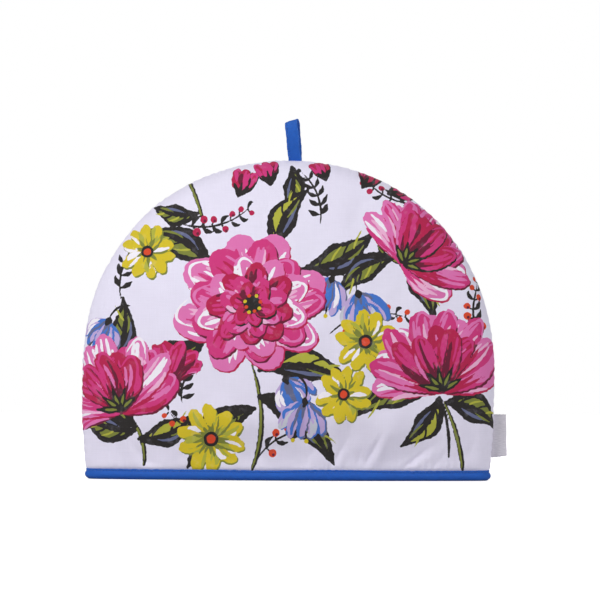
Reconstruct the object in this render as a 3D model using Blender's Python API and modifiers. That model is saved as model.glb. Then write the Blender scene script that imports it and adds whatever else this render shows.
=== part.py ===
"""A padded tea cosy standing on its hem: two wadded panels sewn together round a dome, a bound hem,
a tape loop in the top seam and a folded ribbon label in one side seam.

The cosy faces -Y, +Z is up, and the label is at +X. The origin is on the surface that it stands on,
under the middle of the whole, label included. Lengths here are measured from the middle of the dome.
"""

import math

import bmesh
import bpy
from mathutils import Vector

# ---- Driving dimensions, in millimetres ----
WIDTH = 345.0  # across the widest part of the dome
HEIGHT = 267.0  # from the table to the top seam
DOME_RISE = 176.0  # height of the round part, above the straight sides
DOME_POWER = 2.1  # 2 is a plain ellipse, and more fills out the shoulders

CROWN = 45.0  # how far the middle of a panel stands out from its seam
HEM_CROWN = 35.0  # the same at the hem, which draws the cloth in
EDGE_ROLL = 14.0  # radius of the wadding where it turns into the seam
HEM_ROLL = 12.6  # the same at the hem
HEM_DRAW = 3.0  # how much narrower each side is at the hem
BULGE_REACH = 45.0  # height over which the drawn-in hem opens out
HEM_PINCH = 2.6  # how much further in the tape presses the cloth that it holds
PINCH_REACH = 6.0  # height over which the cloth springs back above the tape

PADDING = 10.0  # cloth, wadding and lining together
HEM_PADDING = 5.0  # the same, pressed flat inside the binding
PADDING_REACH = 18.0

SEAM_GAP = 0.3
BINDING_HEIGHT = 10.0
TAPE = 1.4  # folded binding tape
BINDING_GAP = 0.45  # between the tape and the cloth it holds
TAPE_ROUND = 1.2  # rounded lower edges of the binding

LOOP_WIDTH = 10.6
LOOP_TAPE = 1.6
LOOP_HEIGHT = 34.0
LOOP_BOW = 6.5  # how far the two legs bow apart
LOOP_X = 5.0  # the loop is sewn a little to one side of the middle
LOOP_LEAN = 3.2  # and its top leans back over the middle
LOOP_BACK_SHIFT = 1.4  # the back leg lands a little to the side of the front one
LOOP_SLANT = 14.0  # degrees by which the top of the bow tips up to the right

LABEL_WIDTH = 10.2
LABEL_HEIGHT = 36.0
LABEL_Z = 37.5  # height of the label's middle
RIBBON = 0.5
RIBBON_GAP = 0.4  # between the label's two layers

# Soft folds of each panel, where the drawn-in hem slackens the cloth: a trough has a negative height.
FOLDS = (
    # x, z, degrees from level, length, half width, height
    (15.0, 44.0, 86.0, 50.0, 11.0, -1.8),
    (52.0, 42.0, 24.0, 60.0, 12.0, -1.3),
    (78.0, 34.0, 62.0, 36.0, 10.0, 1.5),
    (108.0, 28.0, 40.0, 44.0, 11.0, -1.7),
    (-60.0, 34.0, 110.0, 40.0, 13.0, -1.4),
    (-118.0, 40.0, 128.0, 46.0, 12.0, -1.5),
    (-70.0, 196.0, 38.0, 64.0, 15.0, -1.1),
    (84.0, 188.0, 134.0, 60.0, 15.0, -1.1),
)
FOLD_CLEAR = 26.0  # a fold dies out over this distance from the seam

COLUMNS = 36
DOME_ROWS = 12
SIDE_ROWS = 8
LOOP_STEPS = 28
LABEL_STEPS = 8

# ---- Worked out from them ----
HALF_WIDTH = WIDTH / 2
SHOULDER_Z = HEIGHT - DOME_RISE
CLOTH_EDGE_Z = TAPE + BINDING_GAP  # the cut edge of a panel, inside the binding
BINDING_FREE_Z = BINDING_HEIGHT + 1.0  # above this the panel starts to swell
SIDE_ROW_POWER = 1.6  # sets the rows of the side closer together just above the binding

MM = 0.001


def smooth(value):
    """0 below 0, 1 above 1, and an even S-curve between."""
    value = min(max(value, 0.0), 1.0)
    return value * value * (3 - 2 * value)


def swelling(z, reach):
    """How far the panel has recovered from the binding at this height, from 0 to 1."""
    return smooth((z - BINDING_FREE_Z) / reach)


def pinched(z):
    """How far the binding presses the outer face in at this height."""
    return HEM_PINCH * (1 - swelling(z, PINCH_REACH))


def between(low, high, share):
    return low + (high - low) * share


def outline_place(across, up):
    """Where a point of the panel's unit grid lies on the flat dome shape.

    across runs from -1 to 1. up is -1 at the hem, 0 at the shoulder and 1 at the top seam. Returns x, z,
    how far out the point is, from 0 in the middle to 1 on the seam, and the direction straight out to
    the seam.
    """
    if up <= 0:
        z = between(SHOULDER_Z, CLOTH_EDGE_Z, -up)
        half_width = HALF_WIDTH - HEM_DRAW * (1 - swelling(z, BULGE_REACH)) - pinched(z)
        side = 1.0 if across > 0 else -1.0
        return across * half_width, z, abs(across), (side, 0.0)
    disc_x = across * math.sqrt(1 - up * up / 2)
    disc_z = up * math.sqrt(1 - across * across / 2)
    out = math.hypot(disc_x, disc_z)
    share_x, share_z = abs(disc_x) / out, abs(disc_z) / out
    stretch = (share_x**DOME_POWER + share_z**DOME_POWER) ** (-1 / DOME_POWER)
    x = HALF_WIDTH * disc_x * stretch
    z = SHOULDER_Z + DOME_RISE * disc_z * stretch
    slope_x = math.copysign(share_x ** (DOME_POWER - 1) / HALF_WIDTH, disc_x)
    slope_z = share_z ** (DOME_POWER - 1) / DOME_RISE
    length = math.hypot(slope_x, slope_z)
    return x, z, out, (slope_x / length, slope_z / length)


def depth(out, z):
    """How far the panel stands out from the seam's plane, and how steeply it falls towards the seam."""
    opened = swelling(z, BULGE_REACH)
    crown = between(HEM_CROWN, CROWN, opened)
    roll = between(HEM_ROLL, EDGE_ROLL, opened) - pinched(z)
    from_seam = max(1 - out, 0.0) * HALF_WIDTH
    left_to_turn = max(1 - from_seam / roll, 0.0)
    turned = math.sqrt(max(1 - left_to_turn**2, 1e-12))
    steepness = 2 * crown * out / HALF_WIDTH + left_to_turn / turned
    return crown * (1 - out * out) + roll * turned, steepness


def folded(x, z, out):
    """How much the soft folds raise the panel here."""
    rise = 0.0
    for fold_x, fold_z, degrees, length, half_width, height in FOLDS:
        turn = math.radians(degrees)
        along = (x - fold_x) * math.cos(turn) + (z - fold_z) * math.sin(turn)
        aside = (z - fold_z) * math.cos(turn) - (x - fold_x) * math.sin(turn)
        rise += height * math.exp(-((2 * along / length) ** 2) - (aside / half_width) ** 2)
    return rise * swelling(z, BINDING_HEIGHT) * smooth((1 - out) * HALF_WIDTH / FOLD_CLEAR)


def panel_point(across, up, layer):
    """A point of the front panel, on its outer face at layer 0 and on its lining at layer 1."""
    x, z, out, (out_x, out_z) = outline_place(across, up)
    stands, steepness = depth(out, z)
    step = 0.5
    rise = (depth(out, z + step)[0] - depth(out, z - step)[0]) / (2 * step)
    normal = Vector((steepness * out_x, -1.0, steepness * out_z - rise)).normalized()
    if up <= -1:
        normal.z = 0.0  # the cut edge lies level inside the binding
        normal.normalize()
    outer = Vector((x, -stands - folded(x, z, out) - SEAM_GAP / 2, z))
    padding = between(HEM_PADDING, PADDING, swelling(z, PADDING_REACH))
    return outer - normal * padding * layer


def column_places():
    """Across the panel from seam to seam, closer together where the wadding turns."""
    half = COLUMNS // 2
    return [math.sin(math.pi / 2 * i / half) for i in range(-half, half + 1)]


def row_places():
    """Up the panel from its cut edge to the top seam, closer together above the binding and at the top."""
    held = (BINDING_FREE_Z - CLOTH_EDGE_Z) / (SHOULDER_Z - CLOTH_EDGE_Z)
    side = [-between(1 - held, 0, (i / SIDE_ROWS) ** SIDE_ROW_POWER) for i in range(SIDE_ROWS)]
    dome = [math.sin(math.pi / 2 * i / DOME_ROWS) for i in range(DOME_ROWS + 1)]
    return [-1.0, *side, *dome]


def material(name, colour, roughness):
    made = bpy.data.materials.new(name)
    made.use_nodes = True
    shader = made.node_tree.nodes["Principled BSDF"]
    shader.inputs["Base Color"].default_value = (*colour, 1.0)
    shader.inputs["Roughness"].default_value = roughness
    shader.inputs["Metallic"].default_value = 0.0
    return made


def add_object(name, data, collection, *finishes):
    made = bpy.data.objects.new(name, data)
    for finish in finishes:
        data.materials.append(finish)
    collection.objects.link(made)
    return made


def panel_mesh(name):
    """One wadded panel: a sheet of cloth as a grid, given a lining face behind it, then shaped."""
    columns, rows = column_places(), row_places()
    grid = bmesh.new()
    bmesh.ops.create_grid(
        grid, x_segments=COLUMNS, y_segments=len(rows) - 1, size=1.0
    )
    sheet = list(grid.faces)
    made = bmesh.ops.extrude_face_region(grid, geom=sheet, use_keep_orig=True)
    lining = {v for v in made["geom"] if isinstance(v, bmesh.types.BMVert)}
    for vertex in grid.verts:
        column = round((vertex.co.x + 1) / 2 * COLUMNS)
        row = round((vertex.co.y + 1) / 2 * (len(rows) - 1))
        layer = 1 if vertex in lining else 0
        vertex.co = panel_point(columns[column], rows[row], layer) * MM
    bmesh.ops.recalc_face_normals(grid, faces=grid.faces)
    mesh = bpy.data.meshes.new(name)
    grid.to_mesh(mesh)
    grid.free()
    mesh.shade_smooth()
    mesh.set_sharp_from_angle(angle=math.radians(50))
    return mesh


def add_panels(collection, cotton):
    """The back panel is the front one turned round, cut from the same pattern."""
    mesh = panel_mesh("panel")
    front = add_object("front_panel", mesh, collection, cotton)
    back = bpy.data.objects.new("back_panel", mesh)
    back.rotation_euler.z = math.pi
    collection.objects.link(back)
    return front, back


def hem_line():
    """The closed line down the middle of the wadding, once round the hem, seen from above."""
    front = []
    for across in column_places():
        middle = panel_point(across, -1.0, 0.5)
        front.append((middle.x, middle.y if abs(across) < 1 else 0.0))
    back = [(-x, -y) for x, y in front[1:-1]]
    return front + back


def tape_profile():
    """The binding's section, a U that holds the cloth: distance out from the hem line, and height."""
    inside = HEM_PADDING / 2 + BINDING_GAP
    outside = inside + TAPE
    half = [
        (inside, TAPE),
        (inside, BINDING_HEIGHT),
        (outside - TAPE / 2, BINDING_HEIGHT),
        (outside, BINDING_HEIGHT - TAPE / 2),
        (outside, TAPE_ROUND),
        (outside - TAPE_ROUND, 0.0),
    ]
    return half + [(-out, height) for out, height in reversed(half)]


def closed_line(name, points, collection):
    """A flat closed curve through these points."""
    curve = bpy.data.curves.new(name, "CURVE")
    curve.dimensions = "2D"
    curve.fill_mode = "NONE"
    spline = curve.splines.new("POLY")
    spline.points.add(len(points) - 1)
    for point, (x, y) in zip(spline.points, points):
        point.co = (x * MM, y * MM, 0.0, 1.0)
    spline.use_cyclic_u = True
    return add_object(name, curve, collection)


def add_binding(collection, guides, tape):
    """One length of tape folded over the hem and joined into a ring."""
    profile = closed_line("tape_profile", tape_profile(), guides)
    profile.hide_render = True
    binding = closed_line("hem_binding", hem_line(), collection)
    binding.data.bevel_mode = "OBJECT"
    binding.data.bevel_object = profile
    binding.data.materials.append(tape)
    return binding


def strip_object(name, collection, finish, steps, place, thickness):
    """A strip of tape or ribbon, place(side, turn) giving its middle surface, as one thickened sheet."""
    strip = bmesh.new()
    bmesh.ops.create_grid(strip, x_segments=2, y_segments=steps, size=1.0)
    for vertex in strip.verts:
        vertex.co = place(vertex.co.x, (vertex.co.y + 1) / 2) * MM
    bmesh.ops.recalc_face_normals(strip, faces=strip.faces)
    mesh = bpy.data.meshes.new(name)
    strip.to_mesh(mesh)
    strip.free()
    made = add_object(name, mesh, collection, finish)
    thicken = made.modifiers.new("thickness", "SOLIDIFY")
    thicken.thickness = thickness * MM
    thicken.offset = 0.0
    return made


def loop_centre(turn):
    """The middle of the loop's tape, from its front end at turn 0 over the top to its back end at 1."""
    angle = 2 * math.pi * turn
    half = angle / 2
    ends_apart = LOOP_TAPE / 2 + SEAM_GAP / 2
    bow = ends_apart * math.cos(half) + LOOP_BOW * math.sin(angle) * math.sin(half)
    risen = (1 - math.cos(angle)) / 2
    x = LOOP_X - LOOP_LEAN * risen + LOOP_BACK_SHIFT * turn
    return Vector((x, -bow, HEIGHT + SEAM_GAP + LOOP_HEIGHT * risen))


def loop_point(side, turn):
    """A point of the tape, side -1 to 1 across its width, which tips up towards the top of the bow."""
    slant = math.radians(LOOP_SLANT) * math.sin(math.pi * turn) ** 4
    across = Vector((math.cos(slant), 0.0, math.sin(slant)))
    return loop_centre(turn) + across * side * LOOP_WIDTH / 2


def label_point(side, turn):
    """A point of the ribbon, which runs out from the seam, turns round its fold and runs back."""
    fold_radius = (RIBBON + RIBBON_GAP) / 2
    straight = LABEL_WIDTH - fold_radius - RIBBON / 2
    walked = (2 * straight + math.pi * fold_radius) * turn
    half_turn = min(max(walked - straight, 0.0) / fold_radius, math.pi)
    back = max(walked - straight - math.pi * fold_radius, 0.0)
    reach = min(walked, straight) - back + fold_radius * math.sin(half_turn)
    layer_y = -fold_radius * math.cos(half_turn)
    z = LABEL_Z + side * LABEL_HEIGHT / 2
    return Vector((HALF_WIDTH + SEAM_GAP + reach, layer_y, z))


def clear_scene():
    for old in list(bpy.data.objects):
        bpy.data.objects.remove(old, do_unlink=True)


def new_collection(name):
    made = bpy.data.collections.new(name)
    bpy.context.scene.collection.children.link(made)
    return made


def stand_on_origin(collection):
    """Hang every piece on an empty, set so that the origin is under the middle of the whole."""
    pieces = list(collection.objects)
    middle = add_object("dome_middle", None, collection)
    middle.location.x = -(LABEL_WIDTH + SEAM_GAP) / 2 * MM
    for piece in pieces:
        piece.parent = middle


def main():
    clear_scene()
    cosy = new_collection("tea_cosy")
    guides = new_collection("guides")
    cotton = material("printed_cotton", (0.76, 0.72, 0.84), 0.85)
    tape = material("blue_tape", (0.019, 0.098, 0.402), 0.7)
    ribbon = material("white_ribbon", (0.80, 0.77, 0.83), 0.5)
    add_panels(cosy, cotton)
    add_binding(cosy, guides, tape)
    strip_object("hanging_loop", cosy, tape, LOOP_STEPS, loop_point, LOOP_TAPE)
    strip_object("side_label", cosy, ribbon, LABEL_STEPS, label_point, RIBBON)
    stand_on_origin(cosy)


main()
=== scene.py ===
# %% [markdown]
# # A padded tea cosy
#
# A tea cosy keeps a teapot warm. This one is made of two domes of printed cotton over soft wadding,
# seamed together round the top. The raw lower edge is bound with blue tape, a loop of the same tape
# stands in the top seam, and a short white ribbon label is caught in one side seam.
#
# The measured model of the cosy is loaded first. It is never changed here. Each of its plain solids is
# replaced by a finer piece, which lies on the same surface and carries the cloth's creases, print and
# weave.

import math

import bpy
import numpy as np
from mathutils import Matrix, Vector


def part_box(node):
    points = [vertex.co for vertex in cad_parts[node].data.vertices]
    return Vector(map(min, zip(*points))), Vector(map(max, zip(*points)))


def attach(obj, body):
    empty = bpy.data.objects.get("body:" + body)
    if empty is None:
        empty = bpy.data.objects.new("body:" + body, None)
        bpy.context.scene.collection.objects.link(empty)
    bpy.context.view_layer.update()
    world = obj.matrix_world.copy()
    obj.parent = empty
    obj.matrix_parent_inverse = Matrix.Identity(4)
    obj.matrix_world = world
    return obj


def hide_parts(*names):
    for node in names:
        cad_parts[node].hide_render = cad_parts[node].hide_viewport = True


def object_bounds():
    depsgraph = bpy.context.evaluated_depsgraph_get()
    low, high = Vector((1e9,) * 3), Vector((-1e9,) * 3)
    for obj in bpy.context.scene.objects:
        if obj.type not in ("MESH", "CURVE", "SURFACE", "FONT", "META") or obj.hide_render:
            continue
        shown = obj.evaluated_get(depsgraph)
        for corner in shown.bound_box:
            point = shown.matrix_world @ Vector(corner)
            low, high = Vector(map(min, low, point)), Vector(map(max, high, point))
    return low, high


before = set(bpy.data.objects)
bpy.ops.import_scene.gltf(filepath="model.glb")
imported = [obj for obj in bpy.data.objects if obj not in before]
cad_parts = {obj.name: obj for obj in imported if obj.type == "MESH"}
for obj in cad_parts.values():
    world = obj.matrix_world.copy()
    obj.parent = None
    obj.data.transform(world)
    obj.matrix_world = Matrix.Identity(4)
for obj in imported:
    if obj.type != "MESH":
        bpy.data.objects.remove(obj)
cad_low, cad_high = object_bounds()
print("the measured model has", len(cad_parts), "solids")
print("measured box, mm:", [round(side * 1000, 1) for side in cad_high - cad_low])

# %% [markdown]
# ## Sizes
#
# Lengths are in millimetres, measured from the table and from the middle of the dome. The overall sizes
# are read from the measured model. The rest are the maker's own: how far a panel swells, how its edge
# rolls into the seam, and how the bound hem draws it in.

# %% Sizes
MM = 0.001
panel_low, panel_high = (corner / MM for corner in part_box("front_panel"))
binding_low, binding_high = (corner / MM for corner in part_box("hem_binding"))
loop_low, loop_high = (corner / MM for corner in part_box("hanging_loop"))
label_low, label_high = (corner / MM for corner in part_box("side_label"))

MIDDLE_X = (panel_low.x + panel_high.x) / 2
HALF_WIDTH = (panel_high.x - panel_low.x) / 2
TOP_Z = panel_high.z
CLOTH_EDGE_Z = panel_low.z  # the cut edge of a panel, inside the binding
FOLD_SLACK = 1.1  # the folded edge of real tape lies this much lower than the plain solid's edge
BINDING_TOP_Z = binding_high.z - FOLD_SLACK
DOME_RISE = 176.0  # height of the round part, above the straight sides
SHOULDER_Z = TOP_Z - DOME_RISE
DOME_POWER = 2.1  # 2 is a plain ellipse, and more fills out the shoulders

CROWN, HEM_CROWN = 45.0, 35.0  # how far the middle of a panel stands out from its seam
EDGE_ROLL, HEM_ROLL = 14.0, 12.6  # radius of the wadding where it turns into the seam
HEM_DRAW = 3.0  # how much narrower each side is at the hem
BULGE_REACH = 45.0  # height over which the drawn-in hem opens out
HEM_PINCH, PINCH_REACH = 2.6, 3.6  # how far in the tape presses the cloth, and how soon it springs back
PINCH_START = 0.6  # the cloth begins to spring out this far below the tape's edge
SWELL_Z = BINDING_TOP_Z + 1.0
PADDING, HEM_PADDING, PADDING_REACH = 10.0, 5.0, 18.0
SEAM_GAP = 0.3
NORMAL_STEP = 4.0  # the slope is taken over this height, as the wadding evens it out
print("half width", round(HALF_WIDTH, 1), "top seam at", round(TOP_Z, 1), "mm")

# %% [markdown]
# ## The shape of a panel
#
# A padded panel isn't flat. It swells in the middle, turns in a quarter circle at the seam, and is
# pressed flat by the binding. A cloth simulation could blow it up like a cushion, but a formula gives
# clean, evenly spaced rows, and the print and the creases can then be laid on it exactly.
#
# A square grid is bent into the dome by the usual square-to-disc rule, so that no row comes to a point.


# %% The surface of a panel
def smooth(value):
    """0 below 0, 1 above 1, and an even S-curve between."""
    value = np.clip(value, 0.0, 1.0)
    return value * value * (3 - 2 * value)


def opened(z):
    """How far the panel has opened out above the drawn-in hem, from 0 to 1."""
    return smooth((z - SWELL_Z) / BULGE_REACH)


def pinched(z):
    """How far in the tape presses the cloth, which springs out above it in a quarter round."""
    still_in = np.clip(1 - (z - BINDING_TOP_Z + PINCH_START) / PINCH_REACH, 0.0, 1.0)
    return HEM_PINCH * (1 - np.sqrt(1 - still_in**2))


def stand_out(out, z):
    """How far the cloth stands out from the seam's plane, and how steeply it falls towards the seam."""
    crown = HEM_CROWN + (CROWN - HEM_CROWN) * opened(z)
    roll = HEM_ROLL + (EDGE_ROLL - HEM_ROLL) * opened(z) - pinched(z)
    left_to_turn = np.clip(1 - (1 - out) * HALF_WIDTH / roll, 0.0, 1.0)
    turned = np.sqrt(np.maximum(1 - left_to_turn**2, 1e-12))
    steepness = 2 * crown * out / HALF_WIDTH + left_to_turn / turned
    return crown * (1 - out * out) + roll * turned, steepness


def panel_surface(across, up):
    """The bare front panel on a grid. across runs from -1 to 1, and up is -1 at the hem and 1 at the top."""
    side_z = SHOULDER_Z + (SHOULDER_Z - CLOTH_EDGE_Z) * np.minimum(up, 0)
    side_half = HALF_WIDTH - HEM_DRAW * (1 - opened(side_z)) - pinched(side_z)
    rising = np.maximum(up, 0)
    disc_x = across * np.sqrt(1 - rising**2 / 2)
    disc_z = rising * np.sqrt(1 - across**2 / 2)
    out = np.hypot(disc_x, disc_z)
    share_x = np.abs(disc_x) / np.maximum(out, 1e-9)
    share_z = disc_z / np.maximum(out, 1e-9)
    stretch = np.maximum(share_x**DOME_POWER + share_z**DOME_POWER, 1e-9) ** (-1 / DOME_POWER)
    on_side = up <= 0
    x = np.where(on_side, across * side_half, HALF_WIDTH * disc_x * stretch)
    z = np.where(on_side, side_z, SHOULDER_Z + DOME_RISE * disc_z * stretch)
    dome_slope = np.sign(disc_x) * share_x ** (DOME_POWER - 1) / HALF_WIDTH
    slope_x = np.where(on_side, np.sign(across), dome_slope)
    slope_z = np.where(on_side, 0.0, share_z ** (DOME_POWER - 1) / DOME_RISE)
    length = np.maximum(np.hypot(slope_x, slope_z), 1e-9)
    out_x, out_z = slope_x / length, slope_z / length
    stands, steepness = stand_out(out, z)
    above, below = stand_out(out, z + NORMAL_STEP)[0], stand_out(out, z - NORMAL_STEP)[0]
    rise = (above - below) / (2 * NORMAL_STEP)
    normal = np.stack([steepness * out_x, -np.ones_like(x), steepness * out_z - rise], -1)
    normal[..., 2] = np.where(up <= -1, 0.0, normal[..., 2])
    normal /= np.linalg.norm(normal, axis=-1, keepdims=True)
    place = np.stack([x, -stands - SEAM_GAP / 2, z], -1)
    return {"place": place, "normal": normal, "x": x, "z": z, "out": out, "toward": (out_x, out_z)}


def evenly_walked(count, reach, roll):
    """Places from 0 to 1 that are evenly spaced along the cloth, its turn into the seam included."""
    walked = np.linspace(0, reach - roll + roll * math.pi / 2, count + 1)
    turned = np.maximum(walked - (reach - roll), 0) / roll
    return (np.minimum(walked, reach - roll) + roll * np.sin(turned)) / reach


HALF_COLUMNS, SIDE_ROWS, DOME_ROWS = 175, 88, 177  # about a millimetre apart
half = evenly_walked(HALF_COLUMNS, HALF_WIDTH, EDGE_ROLL)
columns = np.concatenate([-half[:0:-1], half])
rows = np.concatenate([
    np.linspace(-1, 0, SIDE_ROWS + 1)[:-1],
    evenly_walked(DOME_ROWS, DOME_RISE, EDGE_ROLL),
])
across_grid, up_grid = np.meshgrid(columns, rows)
bare = panel_surface(across_grid, up_grid)
from_seam = (1 - bare["out"]) * HALF_WIDTH
print("a panel is a grid of", len(rows), "rows of", len(columns), "points")

# %% [markdown]
# ## The flat cloth
#
# The print was on the cloth before it was cut and sewn, so its flowers run on round the edge and into
# the seam. Every point of the panel is given its place on the flat cloth: where it turns into the seam,
# the cloth is longer than it looks from the front.

# %% Where each point lies on the flat cloth
turn_angle = np.arcsin(np.clip(1 - from_seam / EDGE_ROLL, 0, 1))
hidden_cloth = EDGE_ROLL * (turn_angle - np.sin(turn_angle))
flat_x = bare["x"] + bare["toward"][0] * hidden_cloth
flat_z = bare["z"] + bare["toward"][1] * hidden_cloth
into_seam = EDGE_ROLL * (math.pi / 2 - turn_angle) + np.maximum(from_seam - EDGE_ROLL, 0)
print("flat cloth, mm:", round(float(np.ptp(flat_x)), 1), "by", round(float(np.ptp(flat_z)), 1))

# %% [markdown]
# ## Creases, puckers and soft unevenness
#
# Wadding is never perfectly even, so light falls on it in soft patches. Where the tape draws the hem in,
# the spare cloth makes short slanting pulls and a row of small puckers, and the curved seam puckers too.
# Each crease is a soft trough or ridge with its own place, direction and size, given in a table.
# The bigger ones are also in the measured model.


# %% Relief of the cloth
def waves(x, z, length, seed, count=9):
    """A smooth random surface between about -1 and 1, with bumps this many millimetres long."""
    random = np.random.default_rng(seed)
    total = np.zeros_like(x)
    for turn, size, phase in random.random((count, 3)):
        pitch = length * (0.7 + 0.8 * size)
        direction = 2 * math.pi * turn
        run = x * math.cos(direction) + z * math.sin(direction)
        total += np.sin(2 * math.pi * (run / pitch + phase))
    return total / math.sqrt(count)


def creased(x, z, table):
    """The height of the creases in the table."""
    height = np.zeros_like(x)
    for crease_x, crease_z, degrees, length, half_width, rise in table:
        turn = math.radians(degrees)
        along = (x - crease_x) * math.cos(turn) + (z - crease_z) * math.sin(turn)
        aside = (z - crease_z) * math.cos(turn) - (x - crease_x) * math.sin(turn)
        height += rise * np.exp(-((2 * along / length) ** 2) - (aside / half_width) ** 2)
    return height


BROAD_FOLDS = (
    # x, z, degrees from level, length, half width, height
    (15.0, 44.0, 86.0, 50.0, 11.0, -1.8),
    (52.0, 42.0, 24.0, 60.0, 12.0, -1.3),
    (78.0, 34.0, 62.0, 36.0, 10.0, 1.5),
    (108.0, 28.0, 40.0, 44.0, 11.0, -1.7),
    (-60.0, 34.0, 110.0, 40.0, 13.0, -1.4),
    (-118.0, 40.0, 128.0, 46.0, 12.0, -1.5),
    (-70.0, 196.0, 38.0, 64.0, 15.0, -1.1),
    (84.0, 188.0, 134.0, 60.0, 15.0, -1.1),
)
SHARP_PULLS = (
    # x, z, degrees from level, length, half width, height
    (70.5, 25.0, 63.0, 28.0, 2.3, -1.5),
    (76.0, 24.0, 63.0, 28.0, 3.4, 0.8),
    (105.0, 17.0, 38.0, 30.0, 2.2, -1.6),
    (108.5, 13.0, 38.0, 28.0, 3.2, 0.8),
    (41.0, 20.0, 60.0, 22.0, 2.4, -1.1),
    (46.0, 19.0, 60.0, 20.0, 3.2, 0.5),
    (15.0, 42.0, 88.0, 40.0, 3.6, -0.9),
    (24.0, 27.0, 50.0, 24.0, 3.0, -0.7),
    (58.0, 16.0, 78.0, 14.0, 2.2, -0.5),
    (128.0, 19.0, 55.0, 20.0, 3.0, -0.6),
    (152.0, 24.0, 74.0, 26.0, 3.4, -0.6),
    (-22.0, 21.0, 104.0, 20.0, 3.0, -0.6),
    (-52.0, 22.0, 112.0, 26.0, 2.8, -0.8),
    (-88.0, 18.0, 98.0, 18.0, 2.6, -0.6),
    (-124.0, 22.0, 128.0, 28.0, 3.0, -0.9),
    (-151.0, 26.0, 104.0, 24.0, 3.4, -0.6),
    (-58.0, 238.0, 152.0, 26.0, 3.4, -0.4),
    (66.0, 234.0, 30.0, 24.0, 3.4, -0.4),
)
HEM_PUCKER, SEAM_PUCKER = 6.2, 7.4  # usual distance from one pucker to the next
HEM_PUCKER_RISE, HEM_PUCKER_REACH = 0.45, 4.5  # how high they stand, and how soon they fade above the tape
SEAM_PUCKER_RISE, SEAM_PUCKER_REACH = 0.3, 4.0  # they are highest this far from the seam
TAPE_FADE, SEAM_FADE = 6.0, 26.0  # creases fade out over these distances from the tape and the seam
GROOVE_DEPTH, GROOVE_REACH = 1.7, 1.5  # how deep and how wide the seam is drawn in
SHARED_SEED = 77  # the same for both panels, so that they wander together where they are sewn


def relief(seed, flip):
    """How far the cloth stands off the bare panel. flip is -1 for the back, which is turned half round."""
    x, z = bare["x"] * flip, bare["z"]
    level = 0 * z
    above_hem = np.maximum(z - BINDING_TOP_Z, 0)
    round_dome = np.arctan2(np.maximum(z - SHOULDER_Z, 0), x)
    seam_walk = HALF_WIDTH * round_dome + np.sign(x) * np.minimum(z - SHOULDER_Z, 0)
    free = smooth(above_hem / TAPE_FADE)
    clear = smooth(from_seam / SEAM_FADE)

    # the creases in the tables, then the soft unevenness of the wadding, broad and fine
    height = creased(x, z, BROAD_FOLDS) * opened(z + 34) * clear
    height += creased(x, z, SHARP_PULLS) * free * clear
    height += free * clear * (0.42 * waves(x, z, 46, seed) + 0.16 * waves(x, z, 17, seed + 1))

    # just above the tape the spare cloth is a little fuller, in short upright waves
    height += 0.3 * free * waves(x, z * 0.35, 12, seed + 2) * np.exp(-above_hem / 16)
    height += 0.5 * free * np.exp(-above_hem / 20)

    # small puckers along the tape, stronger in some places than in others
    strength = np.clip(0.55 + 0.6 * waves(x, level, 38, seed + 3), 0.05, 1.4)
    drift = 0.9 * waves(x, level, 21, seed + 4)
    puckers = np.sin(2 * math.pi * x / HEM_PUCKER + drift) * np.exp(-above_hem / HEM_PUCKER_REACH)
    height += HEM_PUCKER_RISE * strength * smooth(above_hem / 2.5) * puckers

    # puckers round the seam, which rise from nothing at the stitches
    strength = np.clip(0.6 + 0.5 * waves(seam_walk, level, 33, seed + 5), 0.05, 1.4)
    drift = 1.1 * waves(seam_walk, level, 24, seed + 6)
    ripple = np.sin(2 * math.pi * seam_walk / SEAM_PUCKER + drift)
    in_reach = into_seam / SEAM_PUCKER_REACH
    height += SEAM_PUCKER_RISE * strength * ripple * in_reach * np.exp(1 - in_reach)

    # the seam's own wander, and the groove into which the stitches draw it
    shared = 0.35 * waves(seam_walk, level, 60, SHARED_SEED)
    shared += 0.2 * waves(seam_walk, level, 19, SHARED_SEED + 1)
    height += free * shared * np.exp(-into_seam / 9)
    return height - GROOVE_DEPTH * np.exp(-into_seam / GROOVE_REACH)


print("deepest crease, mm:", round(float(relief(3, 1)[from_seam > 20].min()), 2))

# %% [markdown]
# ## The print
#
# The cloth is printed with a loose, painted flower pattern in pinks, crimson, blue, yellow and dark green
# on lilac white. An image would blur close up, so the print is painted on the points of the cloth
# instead. There is one brush: a stroke with a curved spine and a width that swells and tapers. For every
# ink each point remembers how far it is inside or outside that ink's edge. A new stroke adds its own ink
# and covers the others. The shader later shows the ink that each place is deepest inside, which gives an
# edge far sharper than the points are apart.

# %% Inks and the brush
INKS = {
    "mist": "#c9cbd8",
    "slate": "#63698c",
    "charcoal": "#201b1a",
    "olive": "#7d8434",
    "lime": "#b3b33c",
    "white": "#f7f2fb",
    "blush": "#f0b4d6",
    "pink": "#e274b4",
    "rose": "#d2327d",
    "crimson": "#b9124b",
    "wine": "#680a2f",
    "lilac": "#c2abdb",
    "blue": "#3f74cb",
    "yellow": "#d9c220",
    "orange": "#dd4520",
}
INK_ROW = {name: row for row, name in enumerate(INKS)}
GROUND_ROW = len(INKS)  # the bare cloth is kept as one more ink, which every stroke covers
FAR = 3.0  # distances are kept within this many millimetres
SPINE_STEPS = 12


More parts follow.
